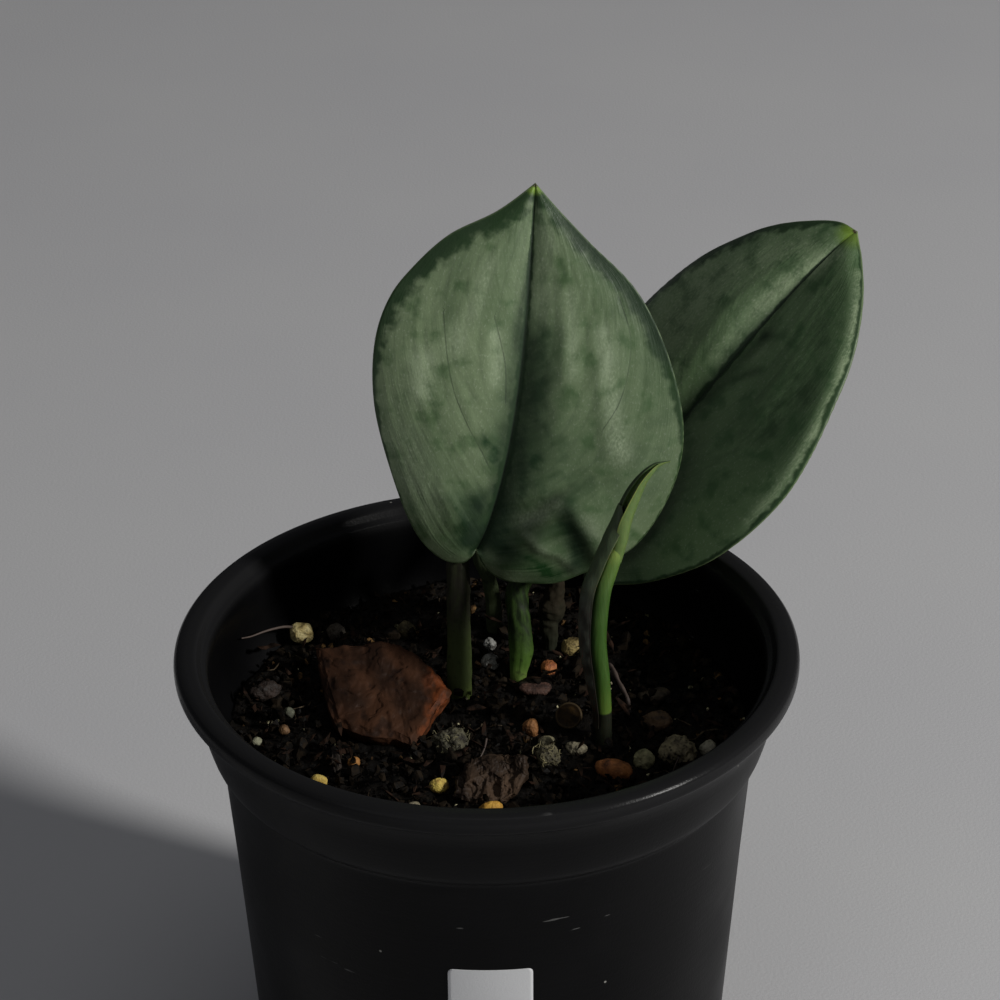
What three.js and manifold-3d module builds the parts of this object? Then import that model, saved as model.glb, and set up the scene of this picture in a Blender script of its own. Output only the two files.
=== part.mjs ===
// Potted moonlight scindapsus: a small aroid with a silver leaf, a darker leaf behind it and a new
// shoot, in gritty bark mix in a round black nursery pot.
// Millimetres, +Z up. The origin is the centre of the pot's base, on the surface that it stands on.
// The silver leaf faces -Y, and +X is to the right as that leaf is looked at.

import * as THREE from "three";
import { mergeVertices } from "three/addons/utils/BufferGeometryUtils.js";
import Module from "manifold-3d";

const wasm = await Module();
wasm.setup();
const { Manifold, Mesh: SolidMesh } = wasm;

// Driving dimensions of the pot
const POT_HEIGHT = 105;
const LIP_RADIUS = 60;
const LIP_WIDTH = 4.5;
const LIP_HEIGHT = 3.8;
const COLLAR_RADIUS = 55; // outside, half way down the flared collar
const COLLAR_HEIGHT = 18.9; // from the top of the lip to the step
const BODY_TOP_RADIUS = 51.8;
const BASE_RADIUS = 44.8;
const WALL = 1.3;
const FLOOR = 2.2;
const POT_SIDES = 64;
const DRAIN_HOLES = 8;
const DRAIN_RADIUS = 4;
const DRAIN_CIRCLE = 34;

// Driving dimensions of the blank sticker on the pot's front
const LABEL_WIDTH = 16;
const LABEL_HEIGHT = 25;
const LABEL_TOP = 64.4;
const LABEL_THICKNESS = 0.6;

// Driving dimensions of the mix, the plant and the gaps between pieces
const CLEARANCE = 0.3;
const MIX_LEVEL = 85;
const MIX_BACK_RISE = 0.07; // mm of rise for each mm towards the back
const MIX_SECTORS = 40;
const GRAINS = 64;
const GRAIN_SIZE = [2.6, 5.4];
const BLADE_THICKNESS = 0.8;
const MIDRIB_DEPTH = 0.9;
const STEM_SIDES = 12;
const STEM_STEPS = 14;
const SLENDER_SIDES = 8; // of the rolled leaf and the root

const ACROSS = new THREE.Vector3(1, 0, 0);

// Steps and joins of geometry

// A closed solid of a geometry, with its shared corners merged.
function solidOf(geometry) {
  const plain = new THREE.BufferGeometry();
  plain.setAttribute("position", geometry.getAttribute("position").clone());
  if (geometry.index) plain.setIndex(geometry.index.clone());
  const merged = mergeVertices(plain, 1e-4);
  const corners = merged.index.array;
  const kept = [];
  for (let i = 0; i < corners.length; i += 3) {
    const [a, b, c] = [corners[i], corners[i + 1], corners[i + 2]];
    if (a !== b && b !== c && c !== a) kept.push(a, b, c);
  }
  return new Manifold(
    new SolidMesh({
      numProp: 3,
      vertProperties: new Float32Array(merged.getAttribute("position").array),
      triVerts: new Uint32Array(kept),
    }),
  );
}

// The geometry of a solid. Loose scraps that a cut leaves beside the main body are dropped.
function geometryOf(solid) {
  const bodies = solid.decompose();
  bodies.sort((a, b) => b.volume() - a.volume());
  const mesh = bodies[0].getMesh();
  const geometry = new THREE.BufferGeometry();
  geometry.setAttribute("position", new THREE.BufferAttribute(new Float32Array(mesh.vertProperties), 3));
  geometry.setIndex(new THREE.BufferAttribute(new Uint32Array(mesh.triVerts), 1));
  geometry.computeVertexNormals();
  return geometry;
}

function geometryFrom(points, triangles) {
  const geometry = new THREE.BufferGeometry();
  geometry.setAttribute("position", new THREE.Float32BufferAttribute(points.flat(), 3));
  geometry.setIndex(triangles.flat());
  geometry.computeVertexNormals();
  return geometry;
}

// A repeatable draw of numbers from 0 to 1.
function draws(seed) {
  let state = seed >>> 0;
  return () => {
    state = (state + 0x6d2b79f5) >>> 0;
    let t = Math.imul(state ^ (state >>> 15), state | 1);
    t ^= t + Math.imul(t ^ (t >>> 7), t | 61);
    return ((t ^ (t >>> 14)) >>> 0) / 4294967296;
  };
}

const smoothLine = (points) => new THREE.CatmullRomCurve3(points, false, "centripetal");

// Closes rings of points, each counter-clockwise as seen from the far end, into one solid skin.
function skin(rings) {
  const sides = rings[0].length;
  const points = rings.flat();
  const triangles = [];
  for (let r = 0; r + 1 < rings.length; r++)
    for (let i = 0; i < sides; i++) {
      const j = (i + 1) % sides;
      const [a, b] = [r * sides + i, r * sides + j];
      const [c, d] = [a + sides, b + sides];
      triangles.push([a, b, d], [a, d, c]);
    }
  const middle = (ring) => [0, 1, 2].map((k) => ring.reduce((sum, p) => sum + p[k], 0) / sides);
  const [first, last] = [points.length, points.length + 1];
  points.push(middle(rings[0]), middle(rings.at(-1)));
  const end = (rings.length - 1) * sides;
  for (let i = 0; i < sides; i++) {
    const j = (i + 1) % sides;
    triangles.push([first, j, i], [last, end + i, end + j]);
  }
  return geometryFrom(points, triangles);
}

// The pot

// Radius and depth below the rim, from the lip's outer edge down to the base.
const POT_OUTSIDE = [
  [LIP_RADIUS - 0.6, 0.1],
  [LIP_RADIUS, 0.8],
  [LIP_RADIUS + 0.2, 2],
  [LIP_RADIUS, LIP_HEIGHT - 0.6],
  [LIP_RADIUS - 0.8, LIP_HEIGHT],
  [COLLAR_RADIUS + 3.1, LIP_HEIGHT + 0.9],
  [COLLAR_RADIUS + 1.6, 8],
  [COLLAR_RADIUS + 0.7, 11.5],
  [COLLAR_RADIUS - 0.2, 15],
  [COLLAR_RADIUS - 1.2, COLLAR_HEIGHT - 0.8],
  [COLLAR_RADIUS - 1.8, COLLAR_HEIGHT],
  [BODY_TOP_RADIUS + 0.2, COLLAR_HEIGHT + 1.3],
  [BODY_TOP_RADIUS - 0.1, COLLAR_HEIGHT + 2.4],
  [BASE_RADIUS, POT_HEIGHT - 1.4],
  [BASE_RADIUS - 0.6, POT_HEIGHT - 0.3],
  [BASE_RADIUS - 1.4, POT_HEIGHT],
];
// The same for the inner wall, from the floor up to the lip's inner edge.
const POT_INSIDE = [
  [BASE_RADIUS - WALL - 0.6, POT_HEIGHT - FLOOR],
  [BASE_RADIUS - WALL + 0.3, POT_HEIGHT - FLOOR - 1],
  [BODY_TOP_RADIUS - WALL - 0.1, COLLAR_HEIGHT + 2],
  [COLLAR_RADIUS - 2.9, COLLAR_HEIGHT - 0.8],
  [COLLAR_RADIUS - 1.6, 14.5],
  [COLLAR_RADIUS - 1.1, 2.4],
  [COLLAR_RADIUS - 0.1, 1.7],
  [LIP_RADIUS - LIP_WIDTH, 0.8],
  [LIP_RADIUS - LIP_WIDTH + 0.5, 0.15],
  [LIP_RADIUS - LIP_WIDTH / 2, 0],
];

function potGeometry() {
  const outline = [
    [0, POT_HEIGHT],
    ...[...POT_OUTSIDE].reverse(),
    ...[...POT_INSIDE].reverse(),
    [0, POT_HEIGHT - FLOOR],
  ].map(([radius, depth]) => new THREE.Vector2(radius, POT_HEIGHT - depth));
  const shell = solidOf(new THREE.LatheGeometry(outline, POT_SIDES).rotateX(Math.PI / 2));
  const holes = [];
  for (let i = 0; i < DRAIN_HOLES; i++) {
    const angle = ((i + 0.5) / DRAIN_HOLES) * 2 * Math.PI;
    const hole = new THREE.CylinderGeometry(DRAIN_RADIUS, DRAIN_RADIUS, 4 * FLOOR, 16)
      .rotateX(Math.PI / 2)
      .translate(DRAIN_CIRCLE * Math.cos(angle), DRAIN_CIRCLE * Math.sin(angle), FLOOR / 2);
    holes.push(solidOf(hole));
  }
  return geometryOf(shell.subtract(Manifold.union(holes)));
}

// A radius read off one of the two outlines at a height.
function radiusAt(outline, height) {
  const rows = outline.map(([radius, depth]) => [POT_HEIGHT - depth, radius]).sort((a, b) => a[0] - b[0]);
  if (height <= rows[0][0]) return rows[0][1];
  for (let i = 1; i < rows.length; i++)
    if (height <= rows[i][0]) {
      const share = (height - rows[i - 1][0]) / (rows[i][0] - rows[i - 1][0] || 1);
      return THREE.MathUtils.lerp(rows[i - 1][1], rows[i][1], share);
    }
  return rows.at(-1)[1];
}

// The sticker follows the cone of the pot's body.
function labelGeometry() {
  const columns = 8;
  const rings = [];
  for (let i = 0; i <= columns; i++) {
    const ring = [];
    for (const [height, proud] of [
      [LABEL_TOP - LABEL_HEIGHT, CLEARANCE],
      [LABEL_TOP, CLEARANCE],
      [LABEL_TOP, CLEARANCE + LABEL_THICKNESS],
      [LABEL_TOP - LABEL_HEIGHT, CLEARANCE + LABEL_THICKNESS],
    ]) {
      const radius = radiusAt(POT_OUTSIDE, height);
      const angle = ((i / columns - 0.5) * LABEL_WIDTH) / radius;
      ring.push([(radius + proud) * Math.sin(angle), -(radius + proud) * Math.cos(angle), height]);
    }
    rings.push(ring);
  }
  return skin(rings);
}

// The stems

// A stem is swept along a smooth line. A row is x, y, z, width and depth, from the foot up.
// With upTo, only that many of its steps are made.
function stemGeometry(rows, { steps = STEM_STEPS, upTo = steps, grow = 0, sides = STEM_SIDES } = {}) {
  const line = smoothLine(rows.map(([x, y, z]) => new THREE.Vector3(x, y, z)));
  const sizes = new THREE.CatmullRomCurve3(rows.map(([, , , w, d]) => new THREE.Vector3(w, d, 0)));
  const rings = [];
  for (let i = 0; i <= upTo; i++) {
    const share = i / steps;
    const point = line.getPoint(share);
    const tangent = line.getTangent(share);
    const size = sizes.getPoint(share);
    const side = ACROSS.clone().addScaledVector(tangent, -ACROSS.dot(tangent)).normalize();
    const front = tangent.clone().cross(side);
    if (i === 0) point.addScaledVector(tangent, -grow);
    if (i === steps) point.addScaledVector(tangent, grow);
    const ring = [];
    for (let k = 0; k < sides; k++) {
      const angle = (k / sides) * 2 * Math.PI;
      const at = point
        .clone()
        .addScaledVector(side, (size.x / 2 + grow) * Math.cos(angle))
        .addScaledVector(front, (size.y / 2 + grow) * Math.sin(angle));
      ring.push(at.toArray());
    }
    rings.push(ring);
  }
  return skin(rings);
}

const STEMS = {
  // Thick leaf stalk that rises behind the silver leaf and bends forward into its notch.
  petiole_front: [
    [-5.8, 11.5, 62, 4.2, 4.2],
    [-5.5, 13, 86, 5, 4.8],
    [-5.4, 14.9, 97, 4.7, 4.6],
    [-5.4, 17.6, 107, 4.6, 4.5],
    [-5.2, 19.6, 113, 4.3, 4.2],
    [-3.8, 20, 116.2, 3.8, 3.6],
    [-1.9, 18.5, 117.3, 2.8, 2.6],
  ],
  // Leaf stalk of the rear leaf, with a node bump low down on its right.
  petiole_rear: [
    [6, 16, 62, 3, 3],
    [6.2, 17.7, 86, 3.2, 3.2],
    [6.9, 18.9, 91, 4.8, 4.4],
    [6.5, 20.6, 97, 4.5, 4.3],
    [6.2, 22.8, 103, 4.5, 4.3],
    [8.6, 24.4, 106.2, 4.2, 4],
    [14, 26, 108.6, 3.6, 3.6],
    [19.3, 27.8, 110.8, 2.2, 2.2],
  ],
  // Slender old leaf stalk at the back, dried off at its top.
  old_stalk: [
    [1.9, 34, 64, 3, 3],
    [1.6, 34.8, 87.5, 3.4, 3.4],
    [1.4, 35.3, 93, 3.1, 3.1],
    [0.5, 35.7, 98, 2.8, 2.8],
    [-1.1, 36.1, 102, 2.6, 2.6],
    [-1.9, 36.4, 105.4, 2.2, 2.2],
  ],
  // Piece of old stem with the ring of a leaf scar.
  old_stem: [
    [12.9, 27, 62, 3, 3],
    [12.8, 27.7, 87, 3, 3],
    [12.6, 28.3, 92.4, 3.4, 3.4],
    [13, 28.7, 95, 6.4, 5.4],
    [13.6, 29, 97.4, 3.4, 3.2],
    [14.2, 29.6, 102, 2.8, 2.8],
  ],
  // New shoot in front: a green stalk whose thin sheath widens its left side.
  new_shoot: [
    [22.6, -5, 63, 3, 3],
    [22.5, -4.2, 85, 3.2, 3.2],
    [22.3, -3.6, 93, 3.8, 3.6],
    [21.3, -2.5, 102, 4.7, 4],
    [20.2, -1.2, 109.6, 5.8, 4.2],
    [21, 0.5, 116.2, 5.6, 4.2],
    [23, 2, 121.9, 5.3, 4.2],
    [24, 2.7, 125.2, 4.9, 4],
    [25.3, 3.8, 130.6, 3.9, 3.4],
  ],
  // The next leaf, still rolled to a spear, which leaves the top of the sheath.
  rolled_leaf: [
    [24.2, 2.9, 126, 1.8, 1.8],
    [25.3, 3.7, 130.2, 2.2, 2.2],
    [27.6, 4.7, 134.8, 2.6, 2.4],
    [30.3, 5.3, 138.6, 2.3, 2],
    [32.2, 5.7, 140.4, 1.6, 1.4],
    [35.2, 6.2, 141, 0.7, 0.7],
  ],
  // Thin root that arches over the mix behind the shoot.
  surface_root: [
    [23.4, 20, 83.6, 1.3, 1.3],
    [23.7, 19, 87.6, 1.3, 1.3],
    [24.8, 16, 88.9, 1.2, 1.2],
    [26, 11.5, 88.4, 1.1, 1.1],
    [27.6, 6.8, 87.3, 1, 1],
    [28, 5.8, 84.2, 1, 1],
  ],
};
const STEM_LOOKS = {
  petiole_front: 0x3c4a34,
  petiole_rear: 0x51683c,
  old_stalk: 0x55604a,
  old_stem: 0x4e4536,
  new_shoot: 0x6f9a4c,
  rolled_leaf: 0x71874a,
  surface_root: 0x6a5c58,
};

// How a named stem is swept. Its hole in the mix needs only the steps up to the surface.
const sidesOf = (name) => (["rolled_leaf", "surface_root"].includes(name) ? SLENDER_SIDES : STEM_SIDES);
const stem = (name) => stemGeometry(STEMS[name], { sides: sidesOf(name) });
function stemHole(name) {
  const upTo = name === "surface_root" ? STEM_STEPS : Math.ceil((STEM_STEPS * 2) / (STEMS[name].length - 1));
  return stemGeometry(STEMS[name], { sides: sidesOf(name), upTo, grow: CLEARANCE });
}

// The leaves

// A leaf's frame: where its midrib starts, the way its midrib runs and the way to its right margin.
// A margin runs from the notch round the lobe to the tip, as mm to the right and mm up the midrib.
const LEAVES = {
  leaf_front: {
    colour: 0x6f8271,
    base: [-1.8, 16, 116.2],
    along: [0.162, 0.188, 0.969],
    across: [0.987, -0.031, -0.159],
    sweep: 3.1,
    sweepPower: 0.7,
    bend: 2.5,
    left: {
      crown: 3,
      roll: 1.2,
      margin: [
        [0, 0], [-1.6, -2.8], [-5.3, -3.2], [-9.3, -0.6], [-12.5, 3.4], [-17.3, 12.2], [-23.9, 27.2],
        [-25.5, 40], [-23.9, 48.6], [-20.8, 54.7], [-15, 61.8], [-6.2, 67.6], [0.2, 73.4],
      ],
    },
    right: {
      crown: 2.2,
      roll: 1.2,
      margin: [
        [0, 0], [1.8, -2.9], [5.7, -5.3], [11.3, -5.3], [16, -4], [20.5, -1.2], [24.3, 1.1], [30.4, 7],
        [35, 19.5], [35.6, 30], [31.4, 43.5], [23, 56.4], [12.1, 64.6], [5.1, 69.6], [0.2, 73.4],
      ],
    },
  },
  leaf_rear: {
    colour: 0x43553f,
    base: [21.2, 28.9, 111],
    along: [0.625, 0.14, 0.768],
    across: [0.427, -0.885, -0.186],
    sweep: -1.3,
    sweepPower: 1.5,
    bend: 3,
    left: {
      crown: 2.4,
      roll: 1,
      margin: [
        [0, 0], [-3.2, -3.4], [-6, -6.6], [-11, -6.4], [-18, -2], [-24, 6], [-28.5, 17], [-30.6, 29],
        [-30.6, 40.7], [-27.8, 53.3], [-24.1, 61.2], [-19.5, 68.3], [-13.8, 74], [-6.9, 79], [-2.1, 80.2],
      ],
    },
    right: {
      crown: 2.4,
      roll: 2,
      margin: [
        [0, 0], [3.2, -3.4], [5.2, -6.4], [9, -4.9], [13.1, -1.6], [17.9, 2.6], [23.8, 9.6], [28.6, 17.2],
        [31.3, 26], [31.7, 36.6], [29.2, 45.8], [24, 56.6], [19.9, 63.4], [14.4, 69.5], [9, 73.9],
        [2.8, 77.6], [-2.1, 80.2],
      ],
    },
  },
};
const LEAF_ROWS = 20;
const LEAF_COLUMNS = 6;

// The blade is a fan of rows from the midrib to the margin, alike on its two faces.
function leafGeometry(leaf) {
  const base = new THREE.Vector3(...leaf.base);
  const along = new THREE.Vector3(...leaf.along).normalize();
  const across = new THREE.Vector3(...leaf.across).normalize();
  const face = across.clone().cross(along);
  const [tipAcross, length] = leaf.left.margin.at(-1);
  const curves = [leaf.left, leaf.right].map((half) =>
    smoothLine(half.margin.map(([x, y]) => new THREE.Vector3(x, y, 0))),
  );

  const midribX = (share) => tipAcross * share + leaf.sweep * Math.sin(Math.PI * share ** leaf.sweepPower);
  const bendAt = (y) => leaf.bend * (0.49 - 4 * (THREE.MathUtils.clamp(y / length, 0, 1) - 0.35) ** 2);
  // One point of a face: u runs from notch to tip, v from midrib to margin.
  const at = (side, u, v, lift) => {
    const half = side ? leaf.right : leaf.left;
    const share = u ** 1.3;
    const rib = [midribX(share), share * length];
    const edge = curves[side].getPointAt(u);
    const x = THREE.MathUtils.lerp(rib[0], edge.x, v);
    const y = THREE.MathUtils.lerp(rib[1], edge.y, v);
    const fade = Math.sin(Math.PI * THREE.MathUtils.clamp(u, 0.04, 1)) ** 0.6;
    const crown = half.crown * fade * Math.sin(Math.PI * v ** 0.75);
    const roll = half.roll * v ** 3 * Math.sin(Math.PI * THREE.MathUtils.clamp(y / length, 0.08, 1));
    const height = bendAt(y) + crown - roll + lift;
    const point = base.clone().addScaledVector(across, x).addScaledVector(along, y);
    return point.addScaledVector(face, height).toArray();
  };

  const points = [];
  const grid = [0, 1].map((back) => {
    const lift = back ? -BLADE_THICKNESS / 2 : BLADE_THICKNESS / 2;
    const add = (side, u, v) => {
      const rib = back && v === 0 ? -MIDRIB_DEPTH * (1 - u) : 0;
      return points.push(at(side, u, v, lift + rib)) - 1;
    };
    const rows = [];
    for (let r = 1; r < LEAF_ROWS; r++) {
      const row = [];
      for (let c = LEAF_COLUMNS; c > 0; c--) row.push(add(0, r / LEAF_ROWS, c / LEAF_COLUMNS));
      for (let c = 0; c <= LEAF_COLUMNS; c++) row.push(add(1, r / LEAF_ROWS, c / LEAF_COLUMNS));
      rows.push(row);
    }
    return { notch: add(0, 0, 0), rows, tip: add(0, 1, 0) };
  });

  const triangles = [];
  grid.forEach(({ notch, rows, tip }, back) => {
    const put = (a, b, c) => triangles.push(back ? [a, c, b] : [a, b, c]);
    const width = rows[0].length;
    for (let i = 0; i + 1 < width; i++) {
      put(notch, rows[0][i + 1], rows[0][i]);
      put(tip, rows.at(-1)[i], rows.at(-1)[i + 1]);
      for (let r = 0; r + 1 < rows.length; r++) {
        const [a, b] = [rows[r][i], rows[r][i + 1]];
        const [c, d] = [rows[r + 1][i], rows[r + 1][i + 1]];
        if (i < width / 2) {
          put(a, b, c);
          put(b, d, c);
        } else {
          put(a, b, d);
          put(a, d, c);
        }
      }
    }
  });
  const rim = ({ notch, rows, tip }) => [
    notch,
    ...rows.map((row) => row.at(-1)),
    tip,
    ...rows.map((row) => row[0]).reverse(),
  ];
  const [frontRim, backRim] = grid.map(rim);
  frontRim.forEach((a, i) => {
    const j = (i + 1) % frontRim.length;
    triangles.push([a, backRim[i], backRim[j]], [a, backRim[j], frontRim[j]]);
  });
  return geometryFrom(points, triangles);
}

// The mix and what lies on it

function ground(x, y) {
  const lumps = 0.45 * Math.sin(0.33 * x + 1.1) * Math.cos(0.29 * y) + 0.25 * Math.sin(0.71 * y - 0.4 * x);
  return MIX_LEVEL + MIX_BACK_RISE * Math.max(0, y) + lumps;
}

// A rough lump of stone, pumice or bark. It is wider than high where its height is less.
function lumpGeometry(lump, grow = 0) {
  const { at, size, turn = 0, sunk = 0.4, rough = 0.12, square = 1, detail = 1, seed } = lump;
  const draw = draws(seed);
  const waves = [1, 2, 3].map((k) => ({
    way: new THREE.Vector3(draw() - 0.5, draw() - 0.5, draw() - 0.5).normalize().multiplyScalar(1.6 * k),
    start: draw() * 2 * Math.PI,
    size: rough / k,
  }));
  const ball = new THREE.IcosahedronGeometry(1, detail).deleteAttribute("normal").deleteAttribute("uv");
  const merged = mergeVertices(ball);
  const positions = merged.getAttribute("position");
  const point = new THREE.Vector3();
  for (let i = 0; i < positions.count; i++) {
    point.fromBufferAttribute(positions, i);
    const ripple = (sum, wave) => sum + wave.size * Math.sin(point.dot(wave.way) + wave.start);
    const swell = waves.reduce(ripple, 1);
    const boxy = (v) => Math.sign(v) * Math.abs(v) ** square;
    point.set(
      boxy(point.x) * ((size[0] / 2) * swell + grow),
      boxy(point.y) * ((size[1] / 2) * swell + grow),
      boxy(point.z) * ((size[2] / 2) * swell + grow),
    );
    positions.setXYZ(i, point.x, point.y, point.z);
  }
  merged.rotateZ(THREE.MathUtils.degToRad(turn));
  merged.translate(at[0], at[1], ground(at[0], at[1]) + size[2] * (0.5 - sunk));
  merged.computeVertexNormals();
  return merged;
}

// A flat chunk of bark with a broken outline. Its top is uneven and its foot is narrower.
function barkGeometry({ at, outline, thickness, tilt, seed }, grow = 0) {
  const draw = draws(seed);
  const stretch = (x, y, scale) => {
    const reach = Math.hypot(x, y);
    const share = scale * (1 + grow / reach);
    return [x * share, y * share];
  };
  const levels = [
    [0.82, -thickness - grow],
    [0.97, -0.6 * thickness],
    [1, -0.15 * thickness],
    [0.9, grow],
    [0.5, 0.5 + grow],
  ];
  const rings = levels.map(([scale, z], level) =>
    outline.map(([x, y]) => [...stretch(x, y, scale), z + (level > 2 ? 1.2 * (draw() - 0.5) : 0)]),
  );
  const geometry = skin(rings);
  const angles = new THREE.Euler(...tilt.map(THREE.MathUtils.degToRad));
  return geometry.applyMatrix4(new THREE.Matrix4().makeRotationFromEuler(angles)).translate(...at);
}

const BARK = {
  bark_large: {
    colour: 0x6a3320,
    at: [-20.6, 8.6, 90.8],
    thickness: 5.2,
    tilt: [12, 0, 0],
    seed: 11,
    outline: [
      [6.2, -17.2], [7.9, -14.1], [11, -7.6], [13.6, -2.7], [11.8, 1.2], [8.4, 6], [3.4, 11.5], [-0.2, 12.6],
      [-4.1, 11.6], [-13.4, 10.9], [-12.6, 5.8], [-11.3, -2.8], [-9, -10.8], [-3.7, -13.9], [2.7, -14.9],
    ],
  },
  bark_front: {
    colour: 0x5a3a2a,
    at: [0.4, -19.6, 88.4],
    thickness: 4,
    tilt: [18, -4, 0],
    seed: 12,
    outline: [
      [1.9, -6.8], [4.7, -4.9], [7.1, -0.5], [7.2, 3.2], [3.9, 4.5], [-0.3, 4.6], [-4.1, 3.3], [-6.9, 0],
      [-7.5, -5], [-3.8, -7],
    ],
  },
};

// Loose pieces on the mix: where each lies, its width, depth and height, and its colour.
const LUMPS = {
  pale_tuft: { at: [-7.4, -5], size: [8.4, 6.4, 6.6], rough: 0.2, colour: 0x77746a },
  pumice_right: { at: [36, -9.8], size: [7.6, 6.4, 6.4], rough: 0.16, colour: 0x6a655a },
  pebble_greenish: { at: [30.2, -12.2], size: [4.8, 4.6, 5], colour: 0x7c7d6b },
  pebble_clay: { at: [24, -15.6], size: [7.6, 4.8, 4.8], turn: -18, sunk: 0.3, colour: 0x80502f },
  stone_back_left: { at: [-37.2, 30.6], size: [6, 5, 5.6], sunk: 0.12, rough: 0.16, colour: 0xa99468 },
  lump_back_left: { at: [-30.2, 31.6], size: [4.8, 4.6, 4.6], rough: 0.18, colour: 0x3a332c },
  pebble_olive: { at: [-16.1, 33.7], size: [4, 4.4, 4.4], colour: 0x5d5238 },
  lump_left: { at: [-43.6, 11.6], size: [7.4, 5, 4.8], rough: 0.18, turn: 20, colour: 0x42302a },
  pale_tuft_small: { at: [11.4, -11.4], size: [5, 4.6, 4.6], rough: 0.2, colour: 0x93896b },
  pebble_pale_left: { at: [11.6, -4.6], size: [4.2, 3.2, 2.8], turn: 15, colour: 0x66605a },
  pebble_pale_right: { at: [17.4, -7.4], size: [5, 3, 2.8], turn: -14, colour: 0x7a7363 },
  seed_husk: { at: [16.2, 1.7], size: [5.4, 3, 4.4], sunk: 0.3, turn: -20, colour: 0x4d4136 },
  pebble_orange_middle: { at: [8.6, 0.3], size: [3.5, 3.2, 4], colour: 0x86603a },
  pebble_orange_back: { at: [12.4, 19.2], size: [4, 4, 4], colour: 0x9c5a34 },
  pebble_yellow_back: { at: [17.2, 26.6], size: [4.2, 4, 4.2], colour: 0x9c8a56 },
  pebble_brown_right: { at: [33.2, 1.6], size: [7, 5, 4.8], turn: -10, rough: 0.1, colour: 0x4f4235 },
  chip_right: { at: [33, 9.8], size: [6.6, 3.6, 2.2], turn: 10, square: 0.8, colour: 0x51493c },
  pebble_white_right: { at: [42.6, -7.8], size: [3.8, 3.4, 3.6], colour: 0x8b8778 },
  pebble_yellow_left: { at: [-32.6, -18], size: [3.8, 3.2, 3.4], colour: 0xc0a04c },
  pebble_orange_left: { at: [-25.8, -12.2], size: [3.2, 3, 3], detail: 0, colour: 0x96703f },
  stick_left: { at: [-29.3, -11], size: [2, 9.6, 2], turn: 8, square: 0.7, colour: 0x231d19 },
  pebble_yellow_front: { at: [-9.2, -19.4], size: [4.2, 3, 3.6], colour: 0xa38a55 },
  pebble_yellow_bottom: { at: [0.6, -28.8], size: [5, 3.4, 3.8], sunk: 0.2, colour: 0xb98c3c },
  bark_chip_back: { at: [9.6, 12.4], size: [7.4, 3.6, 2.8], turn: 8, square: 0.8, colour: 0x3c2a22 },
  crystal_back: { at: [0.8, 27.6], size: [3.4, 3.2, 3.8], detail: 0, colour: 0x8d8b86 },
  crystal_front: { at: [0.8, 20.6], size: [4, 3.4, 3.6], rough: 0.18, colour: 0x96938b },
  pebble_tan_left: { at: [-39.6, 0.2], size: [3, 2.8, 3], detail: 0, colour: 0x7c5c3b },
  pebble_grey_left: { at: [-39, 5.6], size: [3, 2.8, 2.8], detail: 0, colour: 0x5c5d4b },
  pebble_white_left: { at: [-45, -3.4], size: [3.2, 2.6, 2.6], detail: 0, colour: 0x99948a },
  pebble_pale_front: { at: [-14, -26.6], size: [3.8, 2.6, 2.6], detail: 0, colour: 0x8a8069 },
};
Object.values(LUMPS).forEach((lump, i) => (lump.seed = 101 + i));

// The body of the mix, up to its uneven top.
function mixBody() {
  const bottom = FLOOR + CLEARANCE;
  const step = POT_HEIGHT - COLLAR_HEIGHT - 3;
  const ringAt = (radius, height) => {
    const ring = [];
    for (let i = 0; i < MIX_SECTORS; i++) {
      const angle = (i / MIX_SECTORS) * 2 * Math.PI;
      const r = radius(angle);
      const [x, y] = [r * Math.cos(angle), r * Math.sin(angle)];
      ring.push([x, y, height(x, y)]);
    }
    return ring;
  };
  // A facet of the round wall lies inside the circle through its corners.
  const facet = Math.cos(Math.PI / POT_SIDES);
  const wallAt = (height) => radiusAt(POT_INSIDE, height) * facet - CLEARANCE;
  const edge = (angle) => {
    const r = wallAt(MIX_LEVEL);
    return wallAt(ground(r * Math.cos(angle), r * Math.sin(angle)) - 0.6);
  };
  const rings = [ringAt(() => wallAt(bottom) - 1, () => bottom)];
  rings.push(ringAt(() => wallAt(bottom + 2) - 0.2, () => bottom + 2));
  rings.push(ringAt(() => wallAt(step), () => step));
  for (const share of [1, 0.9, 0.78, 0.66, 0.54, 0.42, 0.3, 0.18, 0.07])
    rings.push(ringAt((angle) => share * edge(angle), ground));
  return solidOf(skin(rings));
}

// Dark grains with few sides, rooted in the mix wherever no other piece lies.
function grains(taken) {
  const draw = draws(7);
  const made = [];
  for (let tries = 0; made.length < GRAINS && tries < 4000; tries++) {
    const size = THREE.MathUtils.lerp(...GRAIN_SIZE, draw() ** 2);
    const angle = draw() * 2 * Math.PI;
    const reach = Math.sqrt(draw()) * (radiusAt(POT_INSIDE, MIX_LEVEL) - 2.2 - size / 2);
    const at = [reach * Math.cos(angle), reach * Math.sin(angle)];
    const turn = draw() * 180;
    const shape = [size, size * (0.6 + 0.4 * draw()), size * (0.6 + 0.3 * draw())];
    const seed = Math.floor(draw() * 1e6);
    const free = taken.every(([x, y, r]) => Math.hypot(x - at[0], y - at[1]) > r + size / 2);
    if (!free) continue;
    taken.push([...at, size * 0.2]);
    made.push(solidOf(lumpGeometry({ at, size: shape, turn, sunk: 0.42, detail: 0, rough: 0.14, seed })));
  }
  return made;
}

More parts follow.
